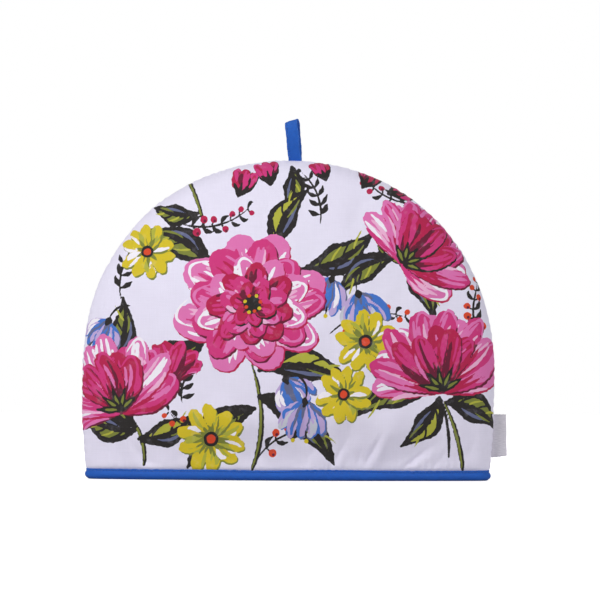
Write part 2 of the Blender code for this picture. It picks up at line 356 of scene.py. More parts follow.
class PrintedCloth:
    """The inks on one panel, at every point of its grid."""

    def __init__(self, seed):
        self.x, self.z = flat_x.ravel(), flat_z.ravel()
        self.inside = np.full((len(INKS) + 1, self.x.size), -FAR)
        self.inside[GROUND_ROW] = FAR
        self.wobble = 0.3 * waves(self.x, self.z, 5, seed) + 0.25 * waves(self.x, self.z, 13, seed + 1)
        self.random = np.random.default_rng(seed)
        self.strokes = 0

    def stroke(self, ink, spine, widths, rough=1.0):
        """Paint one stroke. spine is 3 points: start, middle, end. widths are 3 half widths along it."""
        share = np.linspace(0, 1, SPINE_STEPS + 1)[:, None]
        start, middle, end = (np.array(point, float) for point in spine)
        bend = 2 * middle - (start + end) / 2
        line = (1 - share) ** 2 * start + 2 * share * (1 - share) * bend + share**2 * end
        thick = np.interp(share[:, 0], (0, 0.5, 1), widths)
        thick *= 0.35 + 0.65 * np.sqrt(np.clip(np.sin(math.pi * share[:, 0]), 0, 1))
        reach = thick.max() + FAR
        low, high = line.min(0) - reach, line.max(0) + reach
        in_width = (self.x > low[0]) & (self.x < high[0])
        near = np.flatnonzero(in_width & (self.z > low[1]) & (self.z < high[1]))
        if near.size == 0:
            return
        here = np.stack([self.x[near], self.z[near]], -1)
        best = np.full(near.size, -1e9)
        for i in range(SPINE_STEPS):
            leg = line[i + 1] - line[i]
            along = np.clip(((here - line[i]) @ leg) / max(leg @ leg, 1e-9), 0, 1)
            gap = np.linalg.norm(here - line[i] - along[:, None] * leg, axis=1)
            best = np.maximum(best, thick[i] + (thick[i + 1] - thick[i]) * along - gap)
        best = np.clip(best + rough * self.wobble[near] * min(1.0, thick.max() / 3), -FAR, FAR)
        self.inside[:, near] = np.minimum(self.inside[:, near], -best)
        row = INK_ROW[ink]
        self.inside[row, near] = np.maximum(self.inside[row, near], best)
        self.strokes += 1

    def pick(self, low, high):
        """A random value between two, from this cloth's own run of them."""
        return low + (high - low) * self.random.random()


def turned(centre, angle, ahead, aside=0.0):
    """The point this far ahead of and beside the centre, facing the angle in degrees."""
    turn = math.radians(angle)
    x = centre[0] + ahead * math.cos(turn) - aside * math.sin(turn)
    z = centre[1] + ahead * math.sin(turn) + aside * math.cos(turn)
    return x, z


print(len(INKS), "inks")

# %% [markdown]
# ### Petals and leaves
#
# A petal is painted as a printer's artist would: first a dark shadow, a little to one side, which parts it
# from the petal below. Then comes the body, brush marks of lighter and darker ink beside each other from
# foot to lip, deep marks in the throat, and pale streaks that run in from the lip. Nothing is thinner than
# about 1.5 mm, as that is as fine as the points can hold. A leaf is a dark blade with green marks on its
# lighter half.


# %% Petals and leaves
PINK_PETAL = {"under": "wine", "body": "rose", "tones": ("pink", "rose", "blush", "crimson"),
              "deep": "crimson", "rim": "pink"}
PALE_PETAL = {"under": "crimson", "body": "pink", "tones": ("blush", "white", "pink", "rose", "blush"),
              "deep": "rose", "rim": "white"}
DEEP_PETAL = {"under": "wine", "body": "crimson", "tones": ("rose", "crimson", "pink", "wine"),
              "deep": "wine", "rim": "rose"}
RED_PETAL = {"under": "charcoal", "body": "crimson", "tones": ("wine", "crimson", "rose"),
             "deep": "wine", "rim": "rose"}
BLUE_PETAL = {"under": "slate", "body": "blue", "tones": ("lilac", "blue", "slate", "blue"),
              "deep": "slate", "rim": "lilac"}
LILAC_PETAL = {"under": "blue", "body": "lilac", "tones": ("white", "lilac", "blue", "mist"),
               "deep": "blue", "rim": "mist"}
GOLD_PETAL = {"under": "olive", "body": "yellow", "tones": ("yellow", "lime", "yellow", "white"),
              "deep": "olive", "rim": "yellow"}
SHADOW_X, SHADOW_Z = 0.7, -1.1  # where a petal's shadow lies, in millimetres
BRUSH = 4.4  # usual width of a brush mark


def petal(cloth, foot, angle, length, width, inks, bend=0.0):
    """A petal from its foot outwards. bend pushes its middle aside, as a share of its length."""
    side = bend * length
    spine = (foot, turned(foot, angle, length * 0.5, side), turned(foot, angle, length))
    body = (width * 0.2, width * 0.42, width * 0.48)
    shadow = [(x + SHADOW_X, z + SHADOW_Z) for x, z in spine]
    cloth.stroke(inks["under"], shadow, [half_width + 0.55 for half_width in body])
    cloth.stroke(inks["body"], spine, body)
    marks = max(2, round(width / BRUSH))
    for i in cloth.random.permutation(marks):
        spread = (i + 0.5) / marks - 0.5
        begin = length * cloth.pick(0.1, 0.38)
        reach = length * (1.0 - 0.8 * spread * spread) * cloth.pick(0.84, 1.0)
        start = turned(foot, angle, begin, spread * width * 0.5)
        middle = turned(foot, angle, (begin + reach) / 2, side + spread * width * 0.84)
        end = turned(foot, angle, reach, spread * width * 0.86)
        ink = inks["tones"][cloth.random.integers(len(inks["tones"]))]
        thick = max(width / marks * cloth.pick(0.26, 0.5), 0.75)
        cloth.stroke(ink, (start, middle, end), (thick * 0.6, thick, thick * 0.9))
    for i in range(marks - 1):
        spread = (i + 1) / marks - 0.5 + cloth.pick(-0.06, 0.06)
        reach = length * cloth.pick(0.36, 0.66)
        start = turned(foot, angle, 0.0, spread * width * 0.3)
        middle = turned(foot, angle, reach * 0.5, side * 0.7 + spread * width * 0.56)
        end = turned(foot, angle, reach, side * 0.9 + spread * width * 0.7)
        cloth.stroke(inks["deep"], (start, middle, end), (2.0, 1.4, 0.7))
    if width < 10:
        return
    for i in range(cloth.random.integers(1, 4)):
        spread = cloth.pick(-0.38, 0.38)
        reach = length * (1.0 - 0.6 * spread * spread)
        start = turned(foot, angle, reach, spread * width * 0.9)
        middle = turned(foot, angle, reach * 0.78, side * 0.8 + spread * width)
        end = turned(foot, angle, reach * cloth.pick(0.4, 0.6), side + spread * width * 0.84)
        cloth.stroke(inks["rim"], (start, middle, end), (1.5, cloth.pick(0.9, 1.9), 0.7))
    if cloth.pick(0, 1) < 0.55:
        lean = cloth.pick(-0.12, 0.12)
        start = turned(foot, angle, length * 0.8, width * (lean - 0.33))
        middle = turned(foot, angle, length * 1.0 + width * 0.12, width * lean)
        end = turned(foot, angle, length * 0.82, width * (lean + 0.3))
        cloth.stroke(inks["rim"], (start, middle, end), (0.7, 1.3, 0.7))


def leaf(cloth, foot, angle, length, width, bend=0.1, light="olive"):
    """A leaf blade from its stalk outwards, with its lighter half to the left of its way."""
    side = bend * length
    tip = turned(foot, angle, length)

    def on_rib(share, aside=0.0):
        return turned(foot, angle, length * share, side * math.sin(math.pi * share) + width * aside)

    cloth.stroke("charcoal", (foot, on_rib(0.46), tip), (width * 0.18, width * 0.54, width * 0.12))
    cloth.stroke(light, (on_rib(0.12), on_rib(0.48, 0.2), on_rib(0.88)), (0.8, width * 0.15, 0.7))
    for i in range(4):
        share = 0.2 + 0.16 * i
        vein = (on_rib(share, 0.03), on_rib(share + 0.08, 0.2), on_rib(share + 0.2, 0.34))
        cloth.stroke("lime" if i % 2 else "charcoal", vein, (1.0, 0.85, 0.7))
    shade = (on_rib(0.26, -0.14), on_rib(0.5, -0.27), on_rib(0.74, -0.16))
    cloth.stroke("slate", shade, (0.7, width * 0.06, 0.7))
    glint = (on_rib(0.5, -0.13), on_rib(0.66, -0.17), on_rib(0.82, -0.08))
    cloth.stroke("olive", glint, (0.7, 1.0, 0.7))
    cloth.stroke("charcoal", (on_rib(0.04), on_rib(0.5), on_rib(0.96)), (1.1, 0.85, 0.8))


def stem(cloth, start, middle, end, thick=1.3):
    """A dark stem. A thick one has a green light along it."""
    cloth.stroke("charcoal", (start, middle, end), (thick, thick * 0.85, thick * 0.7))
    if thick > 1.9:
        lit = [(x - 0.5, z + 0.4) for x, z in (start, middle, end)]
        cloth.stroke("olive", lit, (0.7, thick * 0.42, 0.7))


def dot(cloth, ink, centre, radius):
    """A round spot of one ink."""
    cloth.stroke(ink, (turned(centre, 0, -0.2), centre, turned(centre, 0, 0.2)), [radius * 1.15] * 3, 0.6)


print("petal, leaf, stem and dot are ready")

# %% [markdown]
# ### Flowers
#
# The big blooms are rings of petals painted from the outside in, so that each ring covers the feet of the
# one before. Smaller flowers, buds, berries and sprigs fill the ground between them.


# %% Flowers
def full_bloom(cloth, centre, radius, angle, squash=0.84):
    """A full round flower of many rings, seen a little from one side."""
    rings = (
        # petals, reach, width, inks
        (8, 1.0, 0.6, PALE_PETAL),
        (9, 0.84, 0.5, PINK_PETAL),
        (8, 0.68, 0.44, PALE_PETAL),
        (8, 0.55, 0.38, DEEP_PETAL),
        (7, 0.41, 0.32, PINK_PETAL),
        (6, 0.28, 0.26, RED_PETAL),
    )
    for ring, (count, reach, width, inks) in enumerate(rings):
        for i in range(count):
            spin = angle + 360 * (i + 0.5 * (ring % 2)) / count + cloth.pick(-9, 9)
            flat = 1 - (1 - squash) * abs(math.sin(math.radians(spin - angle)))
            length = radius * reach * flat * cloth.pick(0.88, 1.1)
            foot = turned(centre, spin, length * 0.1)
            petal_width = radius * width * cloth.pick(0.88, 1.12)
            petal(cloth, foot, spin, length * 0.88, petal_width, inks, cloth.pick(-0.1, 0.1))
    dot(cloth, "charcoal", centre, radius * 0.1)
    for i in range(8):
        grain = turned(centre, angle + 45 * i, radius * cloth.pick(0.07, 0.13))
        dot(cloth, "yellow" if i % 2 else "orange", grain, 1.3)


def fan_bloom(cloth, foot, radius, angle, inks=(PALE_PETAL, PINK_PETAL, DEEP_PETAL)):
    """A half-open flower seen from the side, its petals fanned over a green cup."""
    for row, (spread, reach, width) in enumerate(((80, 0.9, 0.48), (60, 1.0, 0.44), (36, 0.8, 0.4))):
        count = 7 - row
        for i in cloth.random.permutation(count):
            lean = angle + spread * (2 * i / (count - 1) - 1) + cloth.pick(-4, 4)
            length = radius * reach * cloth.pick(0.9, 1.06)
            petal_width = radius * width * cloth.pick(0.85, 1.1)
            petal(cloth, foot, lean, length, petal_width, inks[row], cloth.pick(-0.08, 0.08))
    for lean in (-70, -34, 0, 32, 68):
        sepal = [turned(foot, angle + lean, radius * share) for share in (0, 0.15, 0.34)]
        cloth.stroke("charcoal", sepal, (3.2, 3.0, 0.8))
        lit = [turned(foot, angle + lean, ahead) for ahead in (2, radius * 0.13, radius * 0.24)]
        cloth.stroke("olive", lit, (0.8, 1.2, 0.7))


def tulip(cloth, foot, size, angle, inks=DEEP_PETAL):
    """A closed cup of pointed petals."""
    for lean, share in ((-30, 0.92), (30, 0.92), (-17, 1.0), (18, 0.98), (0, 1.04)):
        petal(cloth, foot, angle + lean, size * share, size * 0.4, inks, -lean / 170)
    for lean in (-56, 54):
        cloth.stroke("charcoal", (foot, turned(foot, angle + lean, size * 0.16),
                                  turned(foot, angle + lean * 0.8, size * 0.4)), (2.0, 2.2, 0.8))


def bell(cloth, foot, size, angle):
    """A nodding bell flower in blue and lilac."""
    petals = (
        # degrees from the middle, inks
        (-36, LILAC_PETAL),
        (36, BLUE_PETAL),
        (-17, BLUE_PETAL),
        (19, LILAC_PETAL),
        (1, BLUE_PETAL),
    )
    for lean, inks in petals:
        petal(cloth, foot, angle + lean, size * cloth.pick(0.92, 1.06), size * 0.36, inks, lean / 260)
    cloth.stroke("charcoal", (turned(foot, angle, -3), foot, turned(foot, angle, 4)), (1.8, 2.8, 1.4))
    for lean in (-9, 10):
        end = turned(foot, angle + lean, size * 1.16)
        stem(cloth, turned(foot, angle + lean, size * 0.84), turned(foot, angle + lean, size), end, 0.8)
        dot(cloth, "yellow", end, 1.6)


def primula(cloth, centre, radius, angle, inks=GOLD_PETAL):
    """A flat flower of five notched petals."""
    for i in range(5):
        spin = angle + 72 * i + cloth.pick(-6, 6)
        for lean in (-15, 15):
            foot = turned(centre, spin, radius * 0.08)
            length = radius * cloth.pick(0.84, 0.95)
            petal(cloth, foot, spin + lean, length, radius * 0.5, inks, lean / 200)
    dot(cloth, "charcoal", centre, radius * 0.2)
    dot(cloth, "orange", centre, radius * 0.12)


def bud(cloth, foot, size, angle):
    """A closed red bud in three dark sepals."""
    for lean in (-22, 22, 0):
        petal(cloth, foot, angle + lean, size, size * 0.52, RED_PETAL)
    for lean in (-42, 40, 0):
        cloth.stroke("charcoal", (turned(foot, angle, -size * 0.12), turned(foot, angle + lean, size * 0.24),
                                  turned(foot, angle + lean, size * 0.5)), (1.8, 1.6, 0.8))


def stalk(start, angle, length, bend):
    """A function for the point at each share of a curved stalk."""
    return lambda share: turned(start, angle, length * share, bend * length * math.sin(math.pi * share))


def berry_sprig(cloth, start, angle, length, bend, berries=6, ink="orange"):
    """A thin curved stalk with small leaves on one side and berries on the other."""
    on_stalk = stalk(start, angle, length, bend)
    stem(cloth, start, on_stalk(0.5), on_stalk(1.0), 1.0)
    for i in range(berries):
        share = 0.18 + 0.8 * i / max(berries - 1, 1)
        side = 1 if i % 3 else -1
        foot = on_stalk(share)
        berry = turned(foot, angle, 2.5, side * (6.4 - 2.4 * share))
        stem(cloth, foot, turned(foot, angle, 0.8, side * 2.6), berry, 0.85)
        dot(cloth, ink, berry, 3.2 - 1.3 * share)
        if share < 0.8:
            dot(cloth, "wine", turned(berry, -60, 1.4), 1.1)
        belly = turned(foot, angle, 3.0, -side * 4.6)
        tip = turned(foot, angle, 10.0 - 4 * share, -side * (7.0 - 3 * share))
        cloth.stroke("charcoal", (foot, belly, tip), (0.8, 2.6 - 1.0 * share, 0.7))


def leafy_sprig(cloth, start, angle, length, bend, pairs=5):
    """A thin curved stalk with pairs of small dark leaves."""
    on_stalk = stalk(start, angle, length, bend)
    stem(cloth, start, on_stalk(0.5), on_stalk(1.0), 1.0)
    for i in range(pairs):
        share = 0.14 + 0.8 * i / pairs
        size = 12.0 - 5 * share
        for side in (-1, 1):
            foot = on_stalk(share)
            spin = angle + side * cloth.pick(34, 56)
            spine = (foot, turned(foot, spin, size * 0.5, side), turned(foot, spin, size))
            cloth.stroke("charcoal", spine, (0.8, size * 0.2, 0.7))
    dot(cloth, "charcoal", on_stalk(1.0), 1.6)


print("flowers are ready")

# %% [markdown]
# ### Laying out the print
#
# Places are in millimetres on the flat cloth, from the middle of the hem. Each panel is cut from another
# part of the same cloth, so the back has its own layout. Stems and leaves are painted first and the big
# blooms last, so that they lie over them.


# %% Front and back prints
def paint(seed, layout):
    """Paint every row of a layout, in order. A row is what to paint, and then where and how."""
    cloth = PrintedCloth(seed)
    for motif, *places in layout:
        motif(cloth, *places)
    return cloth


def hanging_bell(cloth, foot, size, angle, turn_back=1):
    """A bell on its own short bent stalk."""
    stem(cloth, turned(foot, angle, -20, 9 * turn_back), turned(foot, angle, -13, turn_back), foot, 1.1)
    bell(cloth, foot, size, angle)


FRONT_LAYOUT = (
    # what, place, then its size or its angle, as each asks for
    (stem, (-30, 8), (-22, 50), (-30, 96), 2.6),
    (stem, (146, 6), (141, 36), (130, 66), 2.4),
    (stem, (134, 20), (133, 44), (128, 66), 1.5),
    (stem, (-120, 12), (-122, 34), (-134, 56), 2.2),
    (stem, (74, 196), (84, 186), (100, 180), 2.0),
    (stem, (-92, 262), (-78, 236), (-70, 206), 2.2),
    (leaf, (-76, 222), 168, 40, 17, 0.14, "olive"),
    (leaf, (-150, 96), 78, 56, 22, -0.12, "olive"),
    (leaf, (2, 262), 262, 40, 17, 0.12, "olive"),
    (leaf, (-24, 70), 318, 84, 30, 0.12, "olive"),
    (leaf, (-28, 60), 222, 74, 28, -0.12, "olive"),
    (leaf, (-24, 92), 352, 78, 27, 0.13, "lime"),
    (leaf, (-70, 118), 196, 66, 26, 0.12, "olive"),
    (leaf, (-66, 176), 150, 62, 25, -0.12, "olive"),
    (leaf, (-10, 190), 64, 58, 23, 0.14, "lime"),
    (leaf, (12, 176), 28, 66, 25, -0.1, "olive"),
    (leaf, (124, 74), 196, 70, 26, -0.14, "olive"),
    (leaf, (132, 66), 334, 50, 24, 0.12, "olive"),
    (leaf, (126, 70), 232, 52, 22, 0.12, "lime"),
    (leaf, (122, 84), 156, 62, 24, 0.12, "olive"),
    (leaf, (-128, 44), 108, 62, 24, 0.12, "olive"),
    (leaf, (-124, 34), 24, 52, 22, -0.1, "lime"),
    (leaf, (-128, 40), 162, 46, 22, 0.1, "olive"),
    (leaf, (88, 186), 214, 56, 22, -0.12, "olive"),
    (leaf, (92, 184), 300, 58, 23, 0.12, "olive"),
    (berry_sprig, (34, 122), 12, 66, 0.16, 8),
    (berry_sprig, (-92, 214), 12, 60, -0.14, 7, "crimson"),
    (berry_sprig, (-52, 44), 164, 50, 0.18, 6),
    (berry_sprig, (160, 118), 88, 50, 0.14, 6),
    (leafy_sprig, (-140, 150), 66, 62, 0.16),
    (leafy_sprig, (-128, 226), 44, 44, 0.16, 4),
    (berry_sprig, (112, 232), 158, 52, 0.14, 6, "crimson"),
    (berry_sprig, (-24, 20), 26, 50, 0.14, 5),
    (leafy_sprig, (26, 214), 112, 48, -0.14),
    (leafy_sprig, (-88, 64), 70, 34, 0.14, 4),
    (hanging_bell, (36, 168), 27, 250),
    (hanging_bell, (58, 156), 30, 284),
    (hanging_bell, (-2, 84), 26, 300),
    (hanging_bell, (14, 66), 29, 262, -1),
    (hanging_bell, (-150, 132), 26, 240),
    (primula, (64, 116), 25, 12),
    (primula, (-64, 34), 27, 40),
    (primula, (46, 72), 22, 60),
    (primula, (-118, 190), 22, 5),
    (bud, (-42, 238), 21, 74),
    (bud, (-16, 248), 20, 104),
    (bud, (62, 246), 21, 62),
    (bud, (84, 240), 20, 24),
    (bud, (30, 252), 17, 112),
    (tulip, (-104, 72), 42, 70),
    (fan_bloom, (128, 76), 62, 100),
    (fan_bloom, (-140, 58), 58, 112, (PINK_PETAL, PALE_PETAL, DEEP_PETAL)),
    (fan_bloom, (96, 182), 52, 46, (PALE_PETAL, PINK_PETAL, RED_PETAL)),
    (full_bloom, (-30, 146), 63, 20),
)
BACK_LAYOUT = (
    (stem, (60, 8), (70, 40), (62, 76), 2.6),
    (stem, (-100, 30), (-98, 70), (-84, 108), 2.2),
    (leaf, (66, 56), 212, 80, 29, -0.12, "olive"),
    (leaf, (68, 50), 332, 74, 28, 0.12, "olive"),
    (leaf, (64, 78), 172, 74, 27, 0.12, "lime"),
    (leaf, (100, 136), 28, 64, 25, -0.12, "olive"),
    (leaf, (84, 164), 72, 62, 24, 0.12, "olive"),
    (leaf, (20, 150), 138, 60, 24, -0.12, "lime"),
    (leaf, (-98, 84), 202, 62, 25, -0.12, "olive"),
    (leaf, (-96, 70), 330, 66, 26, 0.12, "olive"),
    (leaf, (-90, 96), 158, 66, 25, 0.1, "lime"),
    (leaf, (-70, 180), 96, 58, 23, -0.12, "olive"),
    (berry_sprig, (-14, 66), 196, 60, 0.14, 7),
    (berry_sprig, (8, 196), 84, 56, -0.16, 6, "crimson"),
    (berry_sprig, (134, 54), 82, 62, 0.14, 7),
    (leafy_sprig, (-30, 190), 116, 52, 0.14),
    (leafy_sprig, (-140, 30), 60, 46, -0.14, 4),
    (leafy_sprig, (110, 206), 160, 44, -0.16, 4),
    (leafy_sprig, (4, 14), 34, 40, -0.16, 4),
    (hanging_bell, (-144, 150), 27, 250),
    (hanging_bell, (-124, 172), 29, 286),
    (hanging_bell, (6, 54), 27, 236),
    (hanging_bell, (-8, 34), 25, 280),
    (hanging_bell, (132, 168), 27, 300),
    (primula, (-54, 30), 27, 20),
    (primula, (52, 206), 24, 50),
    (primula, (142, 28), 23, 10),
    (primula, (-2, 118), 24, 30),
    (bud, (-4, 246), 17, 80),
    (bud, (-140, 112), 17, 150),
    (bud, (118, 108), 17, 20),
    (tulip, (-112, 40), 40, 110),
    (tulip, (96, 18), 38, 70),
    (fan_bloom, (-82, 112), 62, 102),
    (fan_bloom, (-60, 208), 44, 150, (PINK_PETAL, PALE_PETAL, RED_PETAL)),
    (full_bloom, (60, 116), 61, 50),
)
front_print, back_print = paint(11, FRONT_LAYOUT), paint(29, BACK_LAYOUT)
print("brush strokes:", front_print.strokes, "on the front and", back_print.strokes, "on the back")

# %% [markdown]
# ## Making the meshes
#
# A mesh is made from arrays of points and faces. Each point also keeps its place on the flat cloth in
# millimetres, which the weave and the print are drawn from, so that neither stretches where the cloth
# bends. Any other value that a material needs is kept on the points in the same way.


# %% A piece from points and faces
def make_piece(name, points, faces, cloth_place, materials):
    """A smooth mesh piece that rides on the cosy's only body. points are in millimetres."""
    mesh = bpy.data.meshes.new(name)
    mesh.from_pydata((points * MM).tolist(), [], faces)
    mesh.shade_smooth()
    place = mesh.attributes.new("cloth_mm", "FLOAT_VECTOR", "POINT")
    flat = np.zeros((len(points), 3), np.float32)
    flat[:, :2] = cloth_place
    place.data.foreach_set("vector", flat.ravel())
    for material in materials:
        mesh.materials.append(material)
    piece = bpy.data.objects.new(name, mesh)
    bpy.context.scene.collection.objects.link(piece)
    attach(piece, "root")
    print(name, "has", len(points), "points and", len(faces), "faces")
    return piece


def keep_values(piece, name, values):
    """Keep one number at each point of a piece, for its material to read."""
    attribute = piece.data.attributes.new(name, "FLOAT", "POINT")
    attribute.data.foreach_set("value", np.ravel(values).astype(np.float32))


def grid_faces(rows_count, columns_count, first=0, ring=False, flip=False):
    """Quads between the points of a grid. In a ring the last row joins the first."""
    faces = []
    for row in range(rows_count if ring else rows_count - 1):
        here = first + row * columns_count
        there = first + (row + 1) % rows_count * columns_count
        for column in range(columns_count - 1):
            quad = (here + column, here + column + 1, there + column + 1, there + column)
            faces.append(quad[::-1] if flip else quad)
    return faces


# %% [markdown]
# ## Shader helpers
#
# Colours are written as sRGB hex values, as on a paint card, and Blender's shaders want them linear. One
# function adds any node, gives it its settings, and links its inputs.
#
# Some sockets have no name of their own, and go by number. A Mix node for colours takes its share at 0 and
# the two colours at 6 and 7, and gives the mixed colour at output 2. A MapRange node takes its value at 0,
# turns the range from 1 to 2 into the range from 3 to 4, and has 0 to 1 where nothing else is given.


# %% Colours and nodes
def linear(hex_colour):
    """A linear RGBA colour from an sRGB hex value."""
    shares = [int(hex_colour[i : i + 2], 16) / 255 for i in (1, 3, 5)]
    return [s / 12.92 if s <= 0.04045 else ((s + 0.055) / 1.055) ** 2.4 for s in shares] + [1.0]


def node(tree, kind, inputs=(), output=0, **settings):
    """Add a node, with a value or another node's output for each input. It returns one of its outputs."""
    made = tree.nodes.new("ShaderNode" + kind)
    for name, value in settings.items():
        setattr(made, name, value)
    for socket, value in dict(inputs).items():
        if isinstance(value, bpy.types.NodeSocket):
            tree.links.new(value, made.inputs[socket])
        else:
            made.inputs[socket].default_value = value
    return made.outputs[output] if made.outputs else None


def new_material(name):
    """A material with an empty node tree, and that tree."""
    material = bpy.data.materials.new(name)
    material.use_nodes = True
    material.node_tree.nodes.clear()
    return material, material.node_tree


def finish_material(tree, colour, roughness, bump, sheen, sheen_tint="#ffffff"):
    """Give cloth its surface: colour, roughness and bump from the nodes, and a bloom of loose fibres."""
    surface = node(tree, "BsdfPrincipled", {
        "Base Color": colour, "Roughness": roughness, "Normal": bump, "IOR": 1.5,
        "Sheen Weight": sheen, "Sheen Roughness": 0.45, "Sheen Tint": linear(sheen_tint),
    })
    node(tree, "OutputMaterial", {"Surface": surface})


print("middle grey in linear light:", round(linear("#808080")[0], 3))

# %% [markdown]
# ## Cotton and its weave
#
# The cloth is a plain woven cotton canvas, where every thread passes over one and under the next. From
# above that is a fine checker of little humps. Real threads lie about 0.45 mm apart, which is too fine to
# show, so the weave is drawn at 0.75 mm. Threads are never even, so a stretched noise makes some of them
# thicker. Cotton is matt, with a faint bloom of loose fibres at grazing angles.

# %% Plain weave
THREAD_PITCH, TAPE_PITCH, RIBBON_PITCH = 0.75, 0.6, 0.55  # canvas, and finer threads in tape and ribbon
THREAD_HEIGHT = 0.00012  # metres: how far a thread stands up from the hollows beside it


def weave_height(tree, place, pitch=THREAD_PITCH):
    """Humps of a plain weave from -1 to 1, and thick and thin threads, from a place in millimetres."""
    turns = node(tree, "VectorMath", {0: place, "Scale": math.pi / pitch}, operation="SCALE")
    sines = node(tree, "VectorMath", {0: turns}, operation="SINE")
    parts = node(tree, "SeparateXYZ", {0: sines}).node
    humps = node(tree, "Math", {0: parts.outputs[0], 1: parts.outputs[1]}, operation="MULTIPLY")
    along_warp = node(tree, "Mapping", {0: place, "Scale": (1.0, 0.05, 1.0)})
    along_weft = node(tree, "Mapping", {0: place, "Scale": (0.05, 1.0, 1.0)})
    warp = node(tree, "TexNoise", {0: along_warp, "Scale": 1.1, "Detail": 2.0})
    weft = node(tree, "TexNoise", {0: along_weft, "Scale": 1.1, "Detail": 2.0})
    thick = node(tree, "Math", {0: warp, 1: weft}, operation="ADD")
    uneven = node(tree, "Math", {0: thick, 1: 0.5}, operation="MULTIPLY")
    return node(tree, "Math", {0: humps, 1: uneven}, operation="ADD"), uneven


# %% [markdown]
# ## The printed cotton
#
# The print is screen printed: each ink sits on the cloth with a crisp but slightly ragged edge, where it
# bridges the hollows of the weave. Every place takes the colour of the ink, or of the bare cloth, that it is
# deepest inside. A fine noise moves the edge a little, and a slow one makes the ink thinner in places.

# %% Printed cotton canvas
GROUND_LILAC, GROUND_LIGHT = "#e8e3f6", "#eeeafb"
EDGE = 0.2  # how soft an ink's edge is, in millimetres
cotton, tree = new_material("printed_cotton_canvas")
place = node(tree, "Attribute", output=1, attribute_name="cloth_mm")
humps, uneven = weave_height(tree, place)
soft_patch = node(tree, "TexNoise", {0: place, "Scale": 0.03, "Detail": 3.0})
ground = {0: soft_patch, 6: linear(GROUND_LILAC), 7: linear(GROUND_LIGHT)}
colour = node(tree, "Mix", ground, 2, data_type="RGBA")
ragged = node(tree, "TexNoise", {0: place, "Scale": 0.6, "Detail": 3.0})
ragged = node(tree, "MapRange", {0: ragged, 1: 0.2, 2: 0.8, 3: -0.35, 4: 0.35})
deepest = node(tree, "Attribute", output=2, attribute_name="ink_ground")
deepest = node(tree, "Math", {0: deepest, 1: ragged}, operation="ADD")
for name, hex_colour in INKS.items():
    inside = node(tree, "Attribute", output=2, attribute_name="ink_" + name)
    lead = node(tree, "Math", {0: inside, 1: deepest}, operation="SUBTRACT")
    share = node(tree, "MapRange", {0: lead, 1: -EDGE, 2: EDGE}, interpolation_type="SMOOTHSTEP")
    colour = node(tree, "Mix", {0: share, 6: colour, 7: linear(hex_colour)}, 2, data_type="RGBA")
    deepest = node(tree, "Math", {0: inside, 1: deepest}, operation="MAXIMUM")
thin_ink = node(tree, "TexNoise", {0: place, "Scale": 0.11, "Detail": 5.0, "Roughness": 0.65})
thin_ink = node(tree, "MapRange", {0: thin_ink, 1: 0.52, 2: 0.8, 4: 0.1}, interpolation_type="SMOOTHSTEP")
colour = node(tree, "Mix", {0: thin_ink, 6: colour, 7: linear(GROUND_LIGHT)}, 2, data_type="RGBA")
shade = node(tree, "MapRange", {0: uneven, 1: 0.3, 2: 0.7, 3: 0.965, 4: 1.02})
colour = node(tree, "Mix", {0: 1.0, 6: colour, 7: shade}, 2, data_type="RGBA", blend_type="MULTIPLY")
bump = node(tree, "Bump", {"Strength": 0.35, "Distance": THREAD_HEIGHT, "Height": humps})
roughness = node(tree, "MapRange", {0: uneven, 1: 0.3, 2: 0.7, 3: 0.78, 4: 0.9})
finish_material(tree, colour, roughness, bump, 0.08)
print(cotton.name, "has", len(tree.nodes), "nodes")

# %% [markdown]
# The inside is the same cotton without a print. It is seen only from below, between the panels.

# %% Plain cotton lining
lining, tree = new_material("plain_cotton_lining")
place = node(tree, "Attribute", output=1, attribute_name="cloth_mm")
humps, uneven = weave_height(tree, place)
soft_patch = node(tree, "TexNoise", {0: place, "Scale": 0.04, "Detail": 3.0})
colour = node(tree, "Mix", {0: soft_patch, 6: linear("#d8d4e0"), 7: linear("#e8e5ee")}, 2, data_type="RGBA")
bump = node(tree, "Bump", {"Strength": 0.4, "Distance": THREAD_HEIGHT, "Height": humps})
roughness = node(tree, "MapRange", {0: uneven, 1: 0.3, 2: 0.7, 3: 0.8, 4: 0.92})
finish_material(tree, colour, roughness, bump, 0.08)
print(lining.name, "has", len(tree.nodes), "nodes")

# %% [markdown]
# ## The two padded panels
#
# Each panel is one closed shell: the printed face, the lining a wadding's thickness behind it, and the
# edges between them. The face needs points a millimetre apart for the print and the puckers. The lining
# is smooth, so it takes every fifth point, and one wide face joins it to five of the outer ones.
#
# The back is the same panel turned half round the middle, with its own creases and its own print. The two
# meet edge to edge in the seam, which is drawn into a narrow groove.

# %% Panels
LINING_STEP = 5
HELD_REACH = 3.0  # under the tape the cloth loses its puckers over this height
HIDDEN_SEAM_REACH = 3.0  # the gap between the panels closes over this distance
padding = HEM_PADDING + (PADDING - HEM_PADDING) * smooth((bare["z"] - SWELL_Z) / PADDING_REACH)


